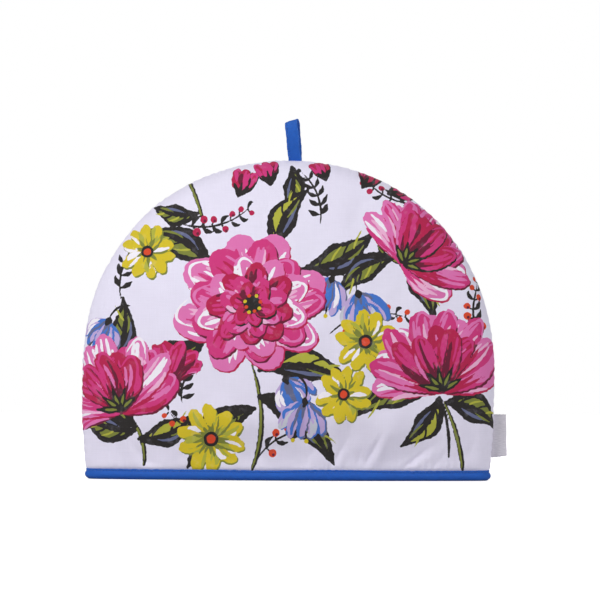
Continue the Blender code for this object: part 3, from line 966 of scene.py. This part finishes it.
def panel_shell(seed, flip):
    """Points and faces of a front panel, and the outer point that each one stands for."""
    height = relief(seed, flip)
    outer = bare["place"] + bare["normal"] * height[..., None]
    outer[..., 1] += SEAM_GAP / 2 * (1 - smooth(into_seam / HIDDEN_SEAM_REACH))
    hem_wall = bare["place"] + bare["normal"] * np.minimum(height, 0)[..., None]
    held = smooth((BINDING_TOP_Z - bare["z"]) / HELD_REACH)[..., None]
    outer = outer * (1 - held) + hem_wall * held
    inner = (bare["place"] - bare["normal"] * padding[..., None])[::LINING_STEP, ::LINING_STEP]
    rows_count, columns_count = outer.shape[:2]
    inner_rows, inner_columns = inner.shape[:2]
    first = rows_count * columns_count
    faces = grid_faces(rows_count, columns_count)
    lining_start = len(faces)
    faces += grid_faces(inner_rows, inner_columns, first, flip=True)
    rim_start = len(faces)
    index = np.arange(first).reshape(rows_count, columns_count)
    inner_index = first + np.arange(inner_rows * inner_columns).reshape(inner_rows, inner_columns)
    walks = (
        (index[0][::-1], inner_index[0][::-1]),
        (index[-1], inner_index[-1]),
        (index[:, 0], inner_index[:, 0]),
        (index[::-1, -1], inner_index[::-1, -1]),
    )
    for outside, inside in walks:
        for i in range(len(inside) - 1):
            run = outside[i * LINING_STEP : (i + 1) * LINING_STEP + 1].tolist()
            faces.append(run + [int(inside[i + 1]), int(inside[i])])
    points = np.concatenate([outer.reshape(-1, 3), inner.reshape(-1, 3)])
    stands_for = np.concatenate([index.ravel(), index[::LINING_STEP, ::LINING_STEP].ravel()])
    return points, faces, stands_for, lining_start, rim_start


FACE_MARGIN = 0.008  # share of the picture left bare beside the face
LINING_SHARE, LINING_CORNER = 0.24, [0.02, 0.78]  # the lining's size beside the face's, and where it lies


def bake_layout(mesh, flat, stands_for, lining_start, rim_start):
    """Lay the face, and above it the lining, flat on one picture, for baking the finished model."""
    side = np.ptp(flat[:, 0]) * 1.02
    face = (flat - flat.min(0)) / side + FACE_MARGIN
    small = face * LINING_SHARE + LINING_CORNER
    corner = np.empty(len(mesh.loops), np.int32)
    mesh.loops.foreach_get("vertex_index", corner)
    starts = np.empty(len(mesh.polygons), np.int32)
    mesh.polygons.foreach_get("loop_start", starts)
    layout = face[corner]
    lining_loops = slice(starts[lining_start], starts[rim_start])
    rim_loops = slice(starts[rim_start], None)
    layout[lining_loops] = small[corner[lining_loops]]
    layout[rim_loops] = face[stands_for[corner[rim_loops]]]
    mesh.uv_layers.new(name="OFBake").uv.foreach_set("vector", layout.astype(np.float32).ravel())


def make_panel(name, node_name, seed, flip, cloth):
    """One padded panel with its print. flip is 1 for the front and -1 for the back."""
    points, faces, stands_for, lining_start, rim_start = panel_shell(seed, flip)
    points[:, :2] *= flip
    points[:, 0] += MIDDLE_X
    flat = np.stack([cloth.x, cloth.z], -1)[stands_for]
    panel = make_piece(name, points, faces, flat, (cotton, lining))
    mesh = panel.data
    for i in range(lining_start, rim_start):
        mesh.polygons[i].material_index = 1
    for ink, row in list(INK_ROW.items()) + [("ground", GROUND_ROW)]:
        keep_values(panel, "ink_" + ink, cloth.inside[row][stands_for])
    bake_layout(mesh, flat, stands_for, lining_start, rim_start)
    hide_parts(node_name)


make_panel("front_cloth", "front_panel", 3, 1, front_print)
make_panel("back_cloth", "back_panel", 8, -1, back_print)

# %% [markdown]
# ## Blue cotton tape
#
# The hem and the loop are made from bias tape: thin plain cotton cut at 45 degrees, so that it bends round
# curves without creasing, with its raw edges folded under. Its weave therefore runs aslant. The blue dye
# is a little lighter where folded edges rub.

# %% Blue bias tape
tape_blue, tree = new_material("blue_cotton_bias_tape")
place = node(tree, "Attribute", output=1, attribute_name="cloth_mm")
aslant = node(tree, "Mapping", {0: place, "Rotation": (0.0, 0.0, math.radians(45))})
humps, uneven = weave_height(tree, aslant, TAPE_PITCH)
soft_patch = node(tree, "TexNoise", {0: place, "Scale": 0.05, "Detail": 4.0})
colour = node(tree, "Mix", {0: soft_patch, 6: linear("#0a52b2"), 7: linear("#1161c5")}, 2, data_type="RGBA")
shade = node(tree, "MapRange", {0: uneven, 1: 0.3, 2: 0.7, 3: 0.9, 4: 1.06})
colour = node(tree, "Mix", {0: 1.0, 6: colour, 7: shade}, 2, data_type="RGBA", blend_type="MULTIPLY")
rubbed = node(tree, "Attribute", output=2, attribute_name="rubbed")
wear = node(tree, "TexNoise", {0: place, "Scale": 0.9, "Detail": 4.0})
wear = node(tree, "MapRange", {0: wear, 1: 0.35, 2: 0.7, 3: 0.05, 4: 0.3}, interpolation_type="SMOOTHSTEP")
rubbed = node(tree, "Math", {0: rubbed, 1: wear}, operation="MULTIPLY")
colour = node(tree, "Mix", {0: rubbed, 6: colour, 7: linear("#6f9bdb")}, 2, data_type="RGBA")
bump = node(tree, "Bump", {"Strength": 0.45, "Distance": THREAD_HEIGHT, "Height": humps})
roughness = node(tree, "MapRange", {0: uneven, 1: 0.3, 2: 0.7, 3: 0.68, 4: 0.82})
finish_material(tree, colour, roughness, bump, 0.06, "#9dbdf0")
print(tape_blue.name, "has", len(tree.nodes), "nodes")

# %% [markdown]
# The sewing thread is polyester of nearly the same blue, a little glossier than the tape. A twisted
# thread catches the light in short slanting dashes.

# %% Blue sewing thread
thread_blue, tree = new_material("blue_polyester_thread")
place = node(tree, "Attribute", output=1, attribute_name="cloth_mm")
twist = node(tree, "TexWave", {0: place, "Scale": 1.4, "Distortion": 0.4}, 1, bands_direction="DIAGONAL")
colour = node(tree, "Mix", {0: twist, 6: linear("#1c4792"), 7: linear("#386fc0")}, 2, data_type="RGBA")
bump = node(tree, "Bump", {"Strength": 0.5, "Distance": 0.00008, "Height": twist})
roughness = node(tree, "MapRange", {0: twist, 3: 0.55, 4: 0.42})
finish_material(tree, colour, roughness, bump, 0.1)
print(thread_blue.name, "has", len(tree.nodes), "nodes")

# %% [markdown]
# ## The bound hem
#
# The tape is folded over the raw lower edge and sewn through. Its section is drawn as the tape really
# lies: the edge turned under, the fold at the top, the face, the round bottom, and the same again inside.
# That line is given the tape's thickness and swept round the hem. The stitches pull it in just below
# the fold, and between them it puffs out a little.

# %% The hem line and the tape's section
TAPE_THICK = 0.5
HEM_MIDDLE = HEM_CROWN + HEM_ROLL - HEM_PINCH + SEAM_GAP / 2 - HEM_PADDING / 2  # middle of the wadding
TAPE_FACE = binding_high.y - HEM_MIDDLE - TAPE_THICK / 2
FOLD_ROUND = 0.4  # radius of the fold along the tape's edge
BOTTOM_ROUND = 4.2  # height of the rounded bottom
HEM_STATIONS = 640
STITCH_LINE = BINDING_TOP_Z - 1.9
STITCH_PITCH = 2.8


def walk_along(line):
    """The distance walked along a line of points, at each of them."""
    return np.concatenate([[0.0], np.cumsum(np.linalg.norm(np.diff(line, axis=0), axis=1))])


def read_along(stops, walk, values, period=None):
    """Rows of values read off at stops along a walk. A walk with a period comes back to its start."""
    return np.stack([np.interp(stops, walk, column, period=period) for column in values.T], -1)


def hem_line(count):
    """Evenly spaced points round the middle of the wadding, their outward sides, the walk and its length."""
    fine = evenly_walked(300, HALF_WIDTH, HEM_ROLL - HEM_PINCH)
    across = np.concatenate([-fine[:0:-1], fine])
    edge = panel_surface(across, np.full_like(across, -1.0))
    half_line = (edge["place"] - edge["normal"] * HEM_PADDING / 2)[:, :2]
    half_line[[0, -1], 1] = 0.0
    line = np.concatenate([half_line[:-1], -half_line])
    walk = walk_along(line)
    stops = np.linspace(0, walk[-1], count, endpoint=False)
    points = read_along(stops, walk, line)
    ahead = np.roll(points, -2, 0) - np.roll(points, 2, 0)
    ahead /= np.linalg.norm(ahead, axis=1, keepdims=True)
    return points, np.stack([ahead[:, 1], -ahead[:, 0]], -1), stops, walk[-1]


def tape_section():
    """Half of the tape's section as places (distance from the middle, height), from the turned-under edge."""
    under = TAPE_FACE - 2 * FOLD_ROUND
    top = BINDING_TOP_Z - TAPE_THICK / 2 - FOLD_ROUND
    line = [(under, z) for z in np.linspace(3.4, top, 5)]
    for turn in np.linspace(math.pi, 0, 7)[1:-1]:
        reach = TAPE_FACE - FOLD_ROUND + FOLD_ROUND * math.cos(turn)
        line.append((reach, top + FOLD_ROUND * math.sin(turn)))
    line += [(TAPE_FACE, z) for z in np.linspace(top, BOTTOM_ROUND, 12)]
    for turn in np.linspace(0, math.pi / 2, 9)[1:]:
        fallen = (BOTTOM_ROUND - TAPE_THICK / 2) * math.sin(turn) ** 0.8
        line.append((TAPE_FACE * math.cos(turn) ** 0.7, BOTTOM_ROUND - fallen))
    return np.array(line)


half_section = tape_section()
mirrored = half_section[-2::-1] * [-1, 1]
section = np.concatenate([half_section, mirrored])
section_walk = walk_along(section)
hem_points, hem_outward, hem_walk, hem_length = hem_line(HEM_STATIONS)
print("hem is", round(hem_length, 1), "mm round, and the tape", round(section_walk[-1], 1), "mm wide")

# %% [markdown]
# Every point of the swept tape is moved a little: in at the stitches, out between them, and up and down
# where the tape was folded unevenly.


# %% The bound hem
TAPE_PUFF = 0.8  # how far the tape puffs out between the stitches and the table
STITCH_PULL, STITCH_PULL_REACH = 0.42, 0.75  # how far in the stitches pull it, and over what height


def thickened(line, thickness):
    """A closed outline round a line, half the thickness to each side."""
    ahead = np.gradient(line, axis=0)
    ahead /= np.linalg.norm(ahead, axis=1, keepdims=True)
    aside = np.stack([-ahead[:, 1], ahead[:, 0]], -1) * thickness / 2
    return np.concatenate([line + aside, (line - aside)[::-1]])


outline = thickened(section, TAPE_THICK)
outline_walk = np.concatenate([section_walk, section_walk[::-1]])
walk_grid, reach_grid = np.meshgrid(hem_walk, outline[:, 0], indexing="ij")
height_grid = np.broadcast_to(outline[:, 1], walk_grid.shape).copy()
side_grid = np.sign(reach_grid)
ring_angle = 2 * math.pi * walk_grid / hem_length


def ring_waves(angle, side, lowest, highest, seed):
    """A random wave round the hem that closes on itself, from this many humps to that many."""
    random = np.random.default_rng(seed)
    total = np.zeros_like(angle)
    for humps_round, phase, lean in zip(
        random.integers(lowest, highest, 8), random.random(8), random.normal(0, 0.5, 8)
    ):
        total += np.sin(humps_round * angle + 2 * math.pi * phase + lean * side)
    return total / math.sqrt(8)


up_the_face = smooth((height_grid - 1.5) / 3)
puff = TAPE_PUFF * np.sin(math.pi * np.clip((height_grid - 0.8) / (STITCH_LINE - 0.8), 0, 1))
pull = -STITCH_PULL * np.exp(-(((height_grid - STITCH_LINE) / STITCH_PULL_REACH) ** 2))
stitch_beat = 0.75 + 0.25 * np.cos(2 * math.pi * walk_grid / STITCH_PITCH)
slanting = ring_waves(ring_angle + height_grid * side_grid * 0.006, side_grid, 70, 130, 41)
moved = puff * (1 + 0.35 * ring_waves(ring_angle, side_grid, 25, 60, 42)) + pull * stitch_beat
moved += up_the_face * 0.13 * slanting
reach_grid = reach_grid + side_grid * moved * np.clip(np.abs(reach_grid) / TAPE_FACE, 0, 1)
unevenly_folded = 0.3 * ring_waves(ring_angle, side_grid, 3, 9, 43)
unevenly_folded += 0.16 * ring_waves(ring_angle, side_grid, 60, 118, 44)
height_grid += smooth((height_grid - 3) / 5) * unevenly_folded
hem_surface = np.concatenate(
    [hem_points[:, None] + hem_outward[:, None] * reach_grid[..., None], height_grid[..., None]], -1
)
hem_surface[..., 0] += MIDDLE_X
rows_round, points_across = hem_surface.shape[:2]
hem_faces = grid_faces(rows_round, points_across, ring=True)
for row in range(rows_round):
    here, there = row * points_across, (row + 1) % rows_round * points_across
    hem_faces.append((here + points_across - 1, here, there, there + points_across - 1))
flat = np.stack([walk_grid, np.broadcast_to(outline_walk, walk_grid.shape)], -1).reshape(-1, 2)
hem_tape = make_piece("hem_tape", hem_surface.reshape(-1, 3), hem_faces, flat, (tape_blue,))
rub = np.exp(-(((outline[:, 1] - BINDING_TOP_Z) / 0.8) ** 2))  # the fold along its edge rubs lighter
keep_values(hem_tape, "rubbed", np.broadcast_to(rub, walk_grid.shape))
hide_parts("hem_binding")
print("the tape stands", round(float(np.abs(reach_grid).max()), 2), "mm from the middle of the hem")

# %% [markdown]
# ## Stitches
#
# A machine stitch is a short length of thread that dives into the cloth at both ends. Each one is a small
# spindle, and all the stitches along one piece are joined in one mesh.


# %% Stitches
SPINDLE_RINGS = (0.0, 0.12, 0.35, 0.65, 0.88, 1.0)
THREAD_SIDES = 6
THREAD_IN_STITCH = 2.4  # length of thread that shows in one stitch


def stitch_row(starts, ends, outward, thickness=0.42, rise=0.16):
    """Spindles from each start to each end, arched a little outwards. All are arrays of points, in mm."""
    ahead = (ends - starts) / np.linalg.norm(ends - starts, axis=1, keepdims=True)
    aside = np.cross(ahead, outward)
    points, faces, flat = [], [], []
    for i, share in enumerate(SPINDLE_RINGS):
        bow = math.sin(math.pi * share)
        middle = starts + (ends - starts) * share + outward * rise * bow
        radius = thickness / 2 * (0.25 + 0.75 * bow**0.4 if bow > 0.01 else 0.25)
        for side in range(THREAD_SIDES):
            turn = 2 * math.pi * side / THREAD_SIDES
            points.append(middle + (aside * math.cos(turn) + outward * math.sin(turn)) * radius)
            along = np.arange(len(starts)) * STITCH_PITCH + share * THREAD_IN_STITCH
            flat.append(np.stack([along, np.full(len(starts), turn * radius)], -1))
    per_stitch = len(points)
    points = np.stack(points, 1).reshape(-1, 3)
    flat = np.stack(flat, 1).reshape(-1, 2)
    for stitch in range(len(starts)):
        base = stitch * per_stitch
        for ring in range(len(SPINDLE_RINGS) - 1):
            for side in range(THREAD_SIDES):
                here, there = base + ring * THREAD_SIDES, base + (ring + 1) * THREAD_SIDES
                after = (side + 1) % THREAD_SIDES
                faces.append((here + side, there + side, there + after, here + after))
        last = base + (len(SPINDLE_RINGS) - 1) * THREAD_SIDES
        faces.append([base + side for side in range(THREAD_SIDES)])
        faces.append([last + side for side in reversed(range(THREAD_SIDES))])
    return points, faces, flat


def joined(parts):
    """Several (points, faces, flat) sets as one."""
    points, faces, flat, base = [], [], [], 0
    for some_points, some_faces, some_flat in parts:
        points.append(some_points)
        flat.append(some_flat)
        faces += [[corner + base for corner in face] for face in some_faces]
        base += len(some_points)
    return np.concatenate(points), faces, np.concatenate(flat)


def hem_stitch_side(side):
    """The row of stitches on one side of the hem. side is 1 outside and -1 inside."""
    face = (reach_grid > 0) == (side > 0)
    on_face = face & (np.abs(reach_grid) > TAPE_FACE - FOLD_ROUND)
    column = np.where(on_face, np.abs(height_grid - STITCH_LINE), np.inf).argmin(1)
    surface = hem_surface[np.arange(rows_round), column]
    count = round(hem_length / STITCH_PITCH)
    stops = np.arange(count) * hem_length / count
    starts = read_along(stops, hem_walk, surface, hem_length)
    ends = read_along(stops + STITCH_PITCH * 0.86, hem_walk, surface, hem_length)
    level = read_along(stops, hem_walk, hem_outward, hem_length)
    outward = np.column_stack([level, np.zeros(count)]) * side
    outward /= np.linalg.norm(outward, axis=1, keepdims=True)
    return stitch_row(starts, ends, outward)


points, faces, flat = joined([hem_stitch_side(side) for side in (1, -1)])
hem_stitches = make_piece("hem_stitches", points, faces, flat, (thread_blue,))

# %% [markdown]
# ## The hanging loop
#
# The loop is a short piece of the same tape, folded so that no raw edge shows, and stitched along its open
# side. It is bent over, and both ends are caught in the top seam. It is too small for a cloth simulation
# to be worth its time, so its centre line follows a formula and its flat section is swept along it. The
# ends go a little way down into the seam.

# %% The line of the loop
LOOP_WIDTH = 10.6
LOOP_TAPE = 1.6
LOOP_BOW = 6.5  # how far each leg bows out from the seam's plane
LOOP_X, LOOP_LEAN = 4.4, 3.4  # how far right of the middle it stands, and how far left its top leans
LOOP_BACK_SHIFT = 1.9  # how far its back leg lies to the right of its front one
LOOP_SLANT = math.radians(17)  # its top slants as much as this
LOOP_STATIONS = 150
LOOP_INTO_SEAM = 3.2
LOOP_CORNER = LOOP_WIDTH / 2 * math.sin(LOOP_SLANT)  # height that the slant adds at one side
LOOP_SPARE = 1.2  # the top stays this far under that of the plain solid
LOOP_HEIGHT = loop_high.z - TOP_Z - SEAM_GAP - LOOP_TAPE / 2 - LOOP_CORNER - LOOP_SPARE


def loop_line(count):
    """Centres, side directions and outward directions along the loop, evenly spaced, and the walk."""
    turn = np.linspace(0, 1, 800)
    angle = 2 * math.pi * turn
    ends_apart = LOOP_TAPE / 2 + SEAM_GAP / 2
    bow = ends_apart * np.cos(angle / 2) + LOOP_BOW * np.sin(angle) * np.sin(angle / 2)
    risen = (1 - np.cos(angle)) / 2
    back_leg = smooth((turn - 0.4) / 0.2) * (1 - 0.7 * smooth(2 * turn - 1.2))
    x = LOOP_X - LOOP_LEAN * risen + LOOP_BACK_SHIFT * back_leg
    line = np.stack([x, -bow, TOP_Z + SEAM_GAP + LOOP_HEIGHT * risen], -1)
    slant = LOOP_SLANT * np.sin(math.pi * turn) ** 4
    below = [0, 0, LOOP_INTO_SEAM]
    line = np.concatenate([[line[0] - below], line, [line[-1] - below]])
    slant = np.concatenate([[0.0], slant, [0.0]])
    walk = walk_along(line)
    stops = np.linspace(0, walk[-1], count)
    centre = read_along(stops, walk, line)
    slant = np.interp(stops, walk, slant)
    side = np.stack([np.cos(slant), np.zeros(count), np.sin(slant)], -1)
    ahead = np.gradient(centre, axis=0)
    outward = np.cross(side, ahead)
    outward /= np.linalg.norm(outward, axis=1, keepdims=True)
    return centre, side, outward, stops


loop_centre, loop_side, loop_outward, loop_walk = loop_line(LOOP_STATIONS)
print("the loop's tape is", round(loop_walk[-1], 1), "mm long and stands", round(LOOP_HEIGHT, 1), "mm high")

# %% [markdown]
# The folded tape is about 1.6 mm thick. It is thinnest along the stitches, rounded at its folds, and a soft
# crease runs down its middle, where the two turned edges meet inside.

# %% The hanging loop
OUTLINE_HALF = 15
LOOP_STITCH_AT = LOOP_WIDTH / 2 - 1.5


def loop_section():
    """The closed outline of the folded tape as (sideways, outwards) places."""
    turn = np.linspace(0, math.pi, OUTLINE_HALF)
    sideways = -np.sign(np.cos(turn)) * np.abs(np.cos(turn)) ** 0.6 * LOOP_WIDTH / 2
    lift = LOOP_TAPE / 2 * np.abs(np.sin(turn)) ** 0.35
    return np.concatenate([np.stack([sideways, lift], -1), np.stack([sideways, -lift], -1)[-2:0:-1]])


loop_outline = loop_section()
walk, sideways = np.meshgrid(loop_walk, loop_outline[:, 0], indexing="ij")
lift = np.broadcast_to(loop_outline[:, 1], walk.shape)
groove = 0.3 * np.exp(-(((sideways + LOOP_STITCH_AT) / 0.8) ** 2))
groove += 0.16 * np.exp(-(((sideways - 1.1) / 0.7) ** 2))
wavy = 0.09 * np.sin(walk * 0.9 + sideways * 0.8) + 0.07 * np.sin(walk * 0.37 - sideways * 1.3 + 1.0)
lift = lift - np.sign(lift) * groove + wavy
edge_wander = 0.14 * np.sin(walk * 0.31 + 0.6) + 0.08 * np.sin(walk * 1.1 + 2.0)
sideways = sideways + edge_wander
loop_surface = loop_centre[:, None] + loop_side[:, None] * sideways[..., None]
loop_surface = loop_surface + loop_outward[:, None] * lift[..., None]
loop_surface[..., 0] += MIDDLE_X
stations, around = walk.shape
loop_faces = []
for station in range(stations - 1):
    here, there = station * around, (station + 1) * around
    for i in range(around):
        after = (i + 1) % around
        loop_faces.append((here + i, here + after, there + after, there + i))
loop_faces.append(list(range(around))[::-1])
loop_faces.append([(stations - 1) * around + i for i in range(around)])
flat = np.stack([walk, np.broadcast_to(walk_along(loop_outline), walk.shape)], -1).reshape(-1, 2)
points = loop_surface.reshape(-1, 3)
loop_tape = make_piece("loop_tape", points, loop_faces, flat, (tape_blue,))
rub = np.clip(np.abs(sideways) - LOOP_WIDTH / 2 + 0.9, 0, 1)  # its edges rub lighter
rub = rub + 0.5 * np.exp(-(((walk - walk.max() / 2) / 6) ** 2))  # and so does its top
keep_values(loop_tape, "rubbed", rub)
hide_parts("hanging_loop")


def loop_stitches(face):
    """The row of stitches along the loop. face is 1 outside and -1 inside."""
    count = int((loop_walk[-1] - 4) / STITCH_PITCH)
    starts = 2 + np.arange(count) * STITCH_PITCH
    lifted = LOOP_TAPE / 2 - 0.28  # the stitches lie in their groove
    centre = loop_centre - loop_side * LOOP_STITCH_AT + loop_outward * face * lifted + [MIDDLE_X, 0, 0]
    begin = read_along(starts, loop_walk, centre)
    end = read_along(starts + STITCH_PITCH * 0.84, loop_walk, centre)
    outward = read_along(starts, loop_walk, loop_outward) * face
    return stitch_row(begin, end, outward, 0.4, 0.14)


points, faces, flat = joined([loop_stitches(face) for face in (1, -1)])
loop_thread = make_piece("loop_stitches", points, faces, flat, (thread_blue,))

# %% [markdown]
# ## The side label
#
# The label is a short length of white woven satin ribbon, folded in half, with both ends caught in the
# side seam. It is left blank. A satin weave has long floats that lie in one direction, which gives it a
# soft gloss, and its two edges are woven firmer.

# %% White satin ribbon
ribbon_white, tree = new_material("white_satin_ribbon")
place = node(tree, "Attribute", output=1, attribute_name="cloth_mm")
floats = node(tree, "Mapping", {0: place, "Scale": (0.25, 2.2, 1.0)})
floats = node(tree, "TexNoise", {0: floats, "Scale": 1.0, "Detail": 3.0})
humps, uneven = weave_height(tree, place, RIBBON_PITCH)
gloss = node(tree, "MapRange", {0: floats, 1: 0.3, 2: 0.7}, interpolation_type="SMOOTHSTEP")
colour = node(tree, "Mix", {0: gloss, 6: linear("#d3cfd9"), 7: linear("#e6e2ea")}, 2, data_type="RGBA")
edge = node(tree, "Attribute", output=2, attribute_name="firm_edge")
edge = node(tree, "Math", {0: edge, 1: 0.6}, operation="MULTIPLY")
colour = node(tree, "Mix", {0: edge, 6: colour, 7: linear("#bcb7c4")}, 2, data_type="RGBA")
height = node(tree, "Math", {0: humps, 1: floats}, operation="ADD")
bump = node(tree, "Bump", {"Strength": 0.4, "Distance": 0.0001, "Height": height})
roughness = node(tree, "MapRange", {0: gloss, 3: 0.42, 4: 0.6})
finish_material(tree, colour, roughness, bump, 0.1)
print(ribbon_white.name, "has", len(tree.nodes), "nodes")

# %% The label
RIBBON_THICK = 0.36
LABEL_INTO_SEAM = 2.6
FIRM_EDGE = 0.9  # width of the ribbon's firmer woven edge
LABEL_COLUMNS, LABEL_ROWS = 40, 60
label_reach = label_high.x - MIDDLE_X - HALF_WIDTH + LABEL_INTO_SEAM
label_tall = label_high.z - label_low.z


def label_line():
    """The folded ribbon seen from above, as (out from its root, sideways) places."""
    half_gap = 0.34
    run = np.linspace(0, label_reach - half_gap, LABEL_COLUMNS // 2)
    front = np.stack([run, -half_gap * (0.35 + 0.65 * smooth(run / 5))], -1)
    turn = np.linspace(-math.pi / 2, math.pi / 2, 9)[1:-1]
    fold = np.stack([label_reach - half_gap + half_gap * np.cos(turn), half_gap * np.sin(turn)], -1)
    return np.concatenate([front, fold, front[::-1] * [1, -1]])


line = thickened(label_line(), RIBBON_THICK)
line_round = walk_along(line)
up, out_from_root = np.meshgrid(np.linspace(0, 1, LABEL_ROWS), line[:, 0], indexing="ij")
sideways = np.broadcast_to(line[:, 1], up.shape)
free = np.clip((out_from_root - LABEL_INTO_SEAM) / (label_reach - LABEL_INTO_SEAM), 0, 1)
x = HALF_WIDTH - LABEL_INTO_SEAM + out_from_root - 0.9 * free * up
bowed = -1.5 * free**2 * (1 - up) ** 2 + 0.7 * free**2 * up**2 + 0.25 * np.sin(up * 7) * free
spreading = 1 + 1.1 * free * (1 - free) * (np.abs(2 * up - 1) ** 3)
y = sideways * spreading + bowed
lifted_corner = 1.4 * free * (1 - up) ** 3
z = label_low.z + label_tall * up + lifted_corner + 0.12 * np.sin(out_from_root * 1.9) * (2 * up - 1)
label_surface = np.stack([x + MIDDLE_X, y, z], -1)
around = label_surface.shape[1]
label_faces = grid_faces(LABEL_ROWS, around)
for row in range(LABEL_ROWS - 1):
    here, there = row * around, (row + 1) * around
    label_faces.append([here, there, there + around - 1, here + around - 1])
half_around = around // 2
for first, flip in ((0, True), ((LABEL_ROWS - 1) * around, False)):
    for i in range(half_around - 1):
        quad = (first + i, first + i + 1, first + around - 2 - i, first + around - 1 - i)
        label_faces.append(quad[::-1] if flip else quad)
flat = np.stack([np.broadcast_to(line_round, up.shape), up * label_tall], -1).reshape(-1, 2)
points = label_surface.reshape(-1, 3)
label_ribbon = make_piece("label_ribbon", points, label_faces, flat, (ribbon_white,))
from_edge = (1 - np.abs(2 * up - 1)) * label_tall / 2
keep_values(label_ribbon, "firm_edge", np.exp(-((from_edge / FIRM_EDGE) ** 2)))
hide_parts("side_label")

# %% [markdown]
# ## Table, light and camera
#
# The cosy stands on a plain white table in a white room. One big soft light from the upper left gives the
# padding its shape, a weaker one fills in from the right, and one lights the back. The lights don't show.
# The table and the room look white but light the cosy with only part of that, so that soft shade is left
# in the hollows.

# %% Table
NEAR_GLOW, FAR_GLOW = 0.6, 1.0  # make the table look white, though it throws little light up at the cosy
table_white, tree = new_material("white_matt_table")
mottled = node(tree, "TexNoise", {"Scale": 6.0, "Detail": 4.0})
colour = node(tree, "Mix", {0: mottled, 6: linear("#cacaca"), 7: linear("#cecece")}, 2, data_type="RGBA")
from_middle = node(tree, "VectorMath", {0: node(tree, "NewGeometry")}, 1, operation="LENGTH")
glow = node(tree, "MapRange", {0: from_middle, 1: 0.2, 2: 1.6, 3: NEAR_GLOW, 4: FAR_GLOW})
glow = node(tree, "Math", {0: glow, 1: node(tree, "LightPath")}, operation="MULTIPLY")
surface = node(tree, "BsdfPrincipled", {
    "Base Color": colour, "Roughness": 0.9, "Emission Color": linear("#ffffff"), "Emission Strength": glow,
})
node(tree, "OutputMaterial", {"Surface": surface})
mesh = bpy.data.meshes.new("table")
TABLE_HALF = 4.0
corners = ((-1, -1), (1, -1), (1, 1), (-1, 1))
mesh.from_pydata([(TABLE_HALF * x, TABLE_HALF * y, cad_low.z) for x, y in corners], [], [(0, 1, 2, 3)])
mesh.materials.append(table_white)
table = bpy.data.objects.new("table", mesh)
bpy.context.scene.collection.objects.link(table)
print("the table is", 2 * TABLE_HALF, "m wide")

# %% White room
world = bpy.data.worlds.new("white_room")
bpy.context.scene.world = world
world.use_nodes = True
tree = world.node_tree
tree.nodes.clear()
seen = node(tree, "Background", {"Color": (1.0, 1.0, 1.0, 1.0), "Strength": 1.0})
lit = node(tree, "Background", {"Color": linear("#f6f7fc"), "Strength": 0.24})
camera_ray = node(tree, "LightPath")
node(tree, "OutputWorld", {0: node(tree, "MixShader", {0: camera_ray, 1: lit, 2: seen})})


def soft_light(name, place, size, watts):
    """A square light that faces the middle of the cosy and isn't seen itself."""
    light = bpy.data.lights.new(name, "AREA")
    light.size = size
    light.energy = watts
    lamp = bpy.data.objects.new(name, light)
    bpy.context.scene.collection.objects.link(lamp)
    lamp.location = place
    lamp.rotation_euler = (middle - Vector(place)).to_track_quat("-Z", "Y").to_euler()
    lamp.visible_camera = False
    return lamp


middle = (cad_low + cad_high) / 2
soft_light("key_light", (-1.5, -1.4, 1.45), 1.1, 37.0)
soft_light("fill_light", (1.9, -1.4, 0.8), 1.1, 19.5)
soft_light("back_light", (0.3, 2.0, 1.1), 1.2, 22.0)
print("3 lights and a white room")

# %% [markdown]
# The camera looks straight at the front, level with the middle of the cosy. A very long lens from several
# metres away shows its outline almost without perspective, so that the hem looks straight.

# %% Camera
LENS = 500.0
SHOWN_WIDTH = 0.5018  # width of the picture at the cosy's middle, in metres
CAMERA_ROLL = -0.3  # degrees: the camera isn't held quite level
camera_data = bpy.data.cameras.new("camera")
camera_data.lens = LENS
camera_data.clip_end = 50.0
camera = bpy.data.objects.new("camera", camera_data)
bpy.context.scene.collection.objects.link(camera)
distance = LENS / camera_data.sensor_width * SHOWN_WIDTH
aim = Vector((0.0042, 0.0, 0.1503))  # metres: about the middle of the loop, the dome and the hem
camera.location = aim + Vector((0.0, -distance, 0.0))
camera.rotation_euler = (math.radians(90), math.radians(CAMERA_ROLL), 0.0)
bpy.context.scene.camera = camera
bpy.context.scene.view_settings.view_transform = "Standard"
print("the camera stands", round(distance, 2), "m away")
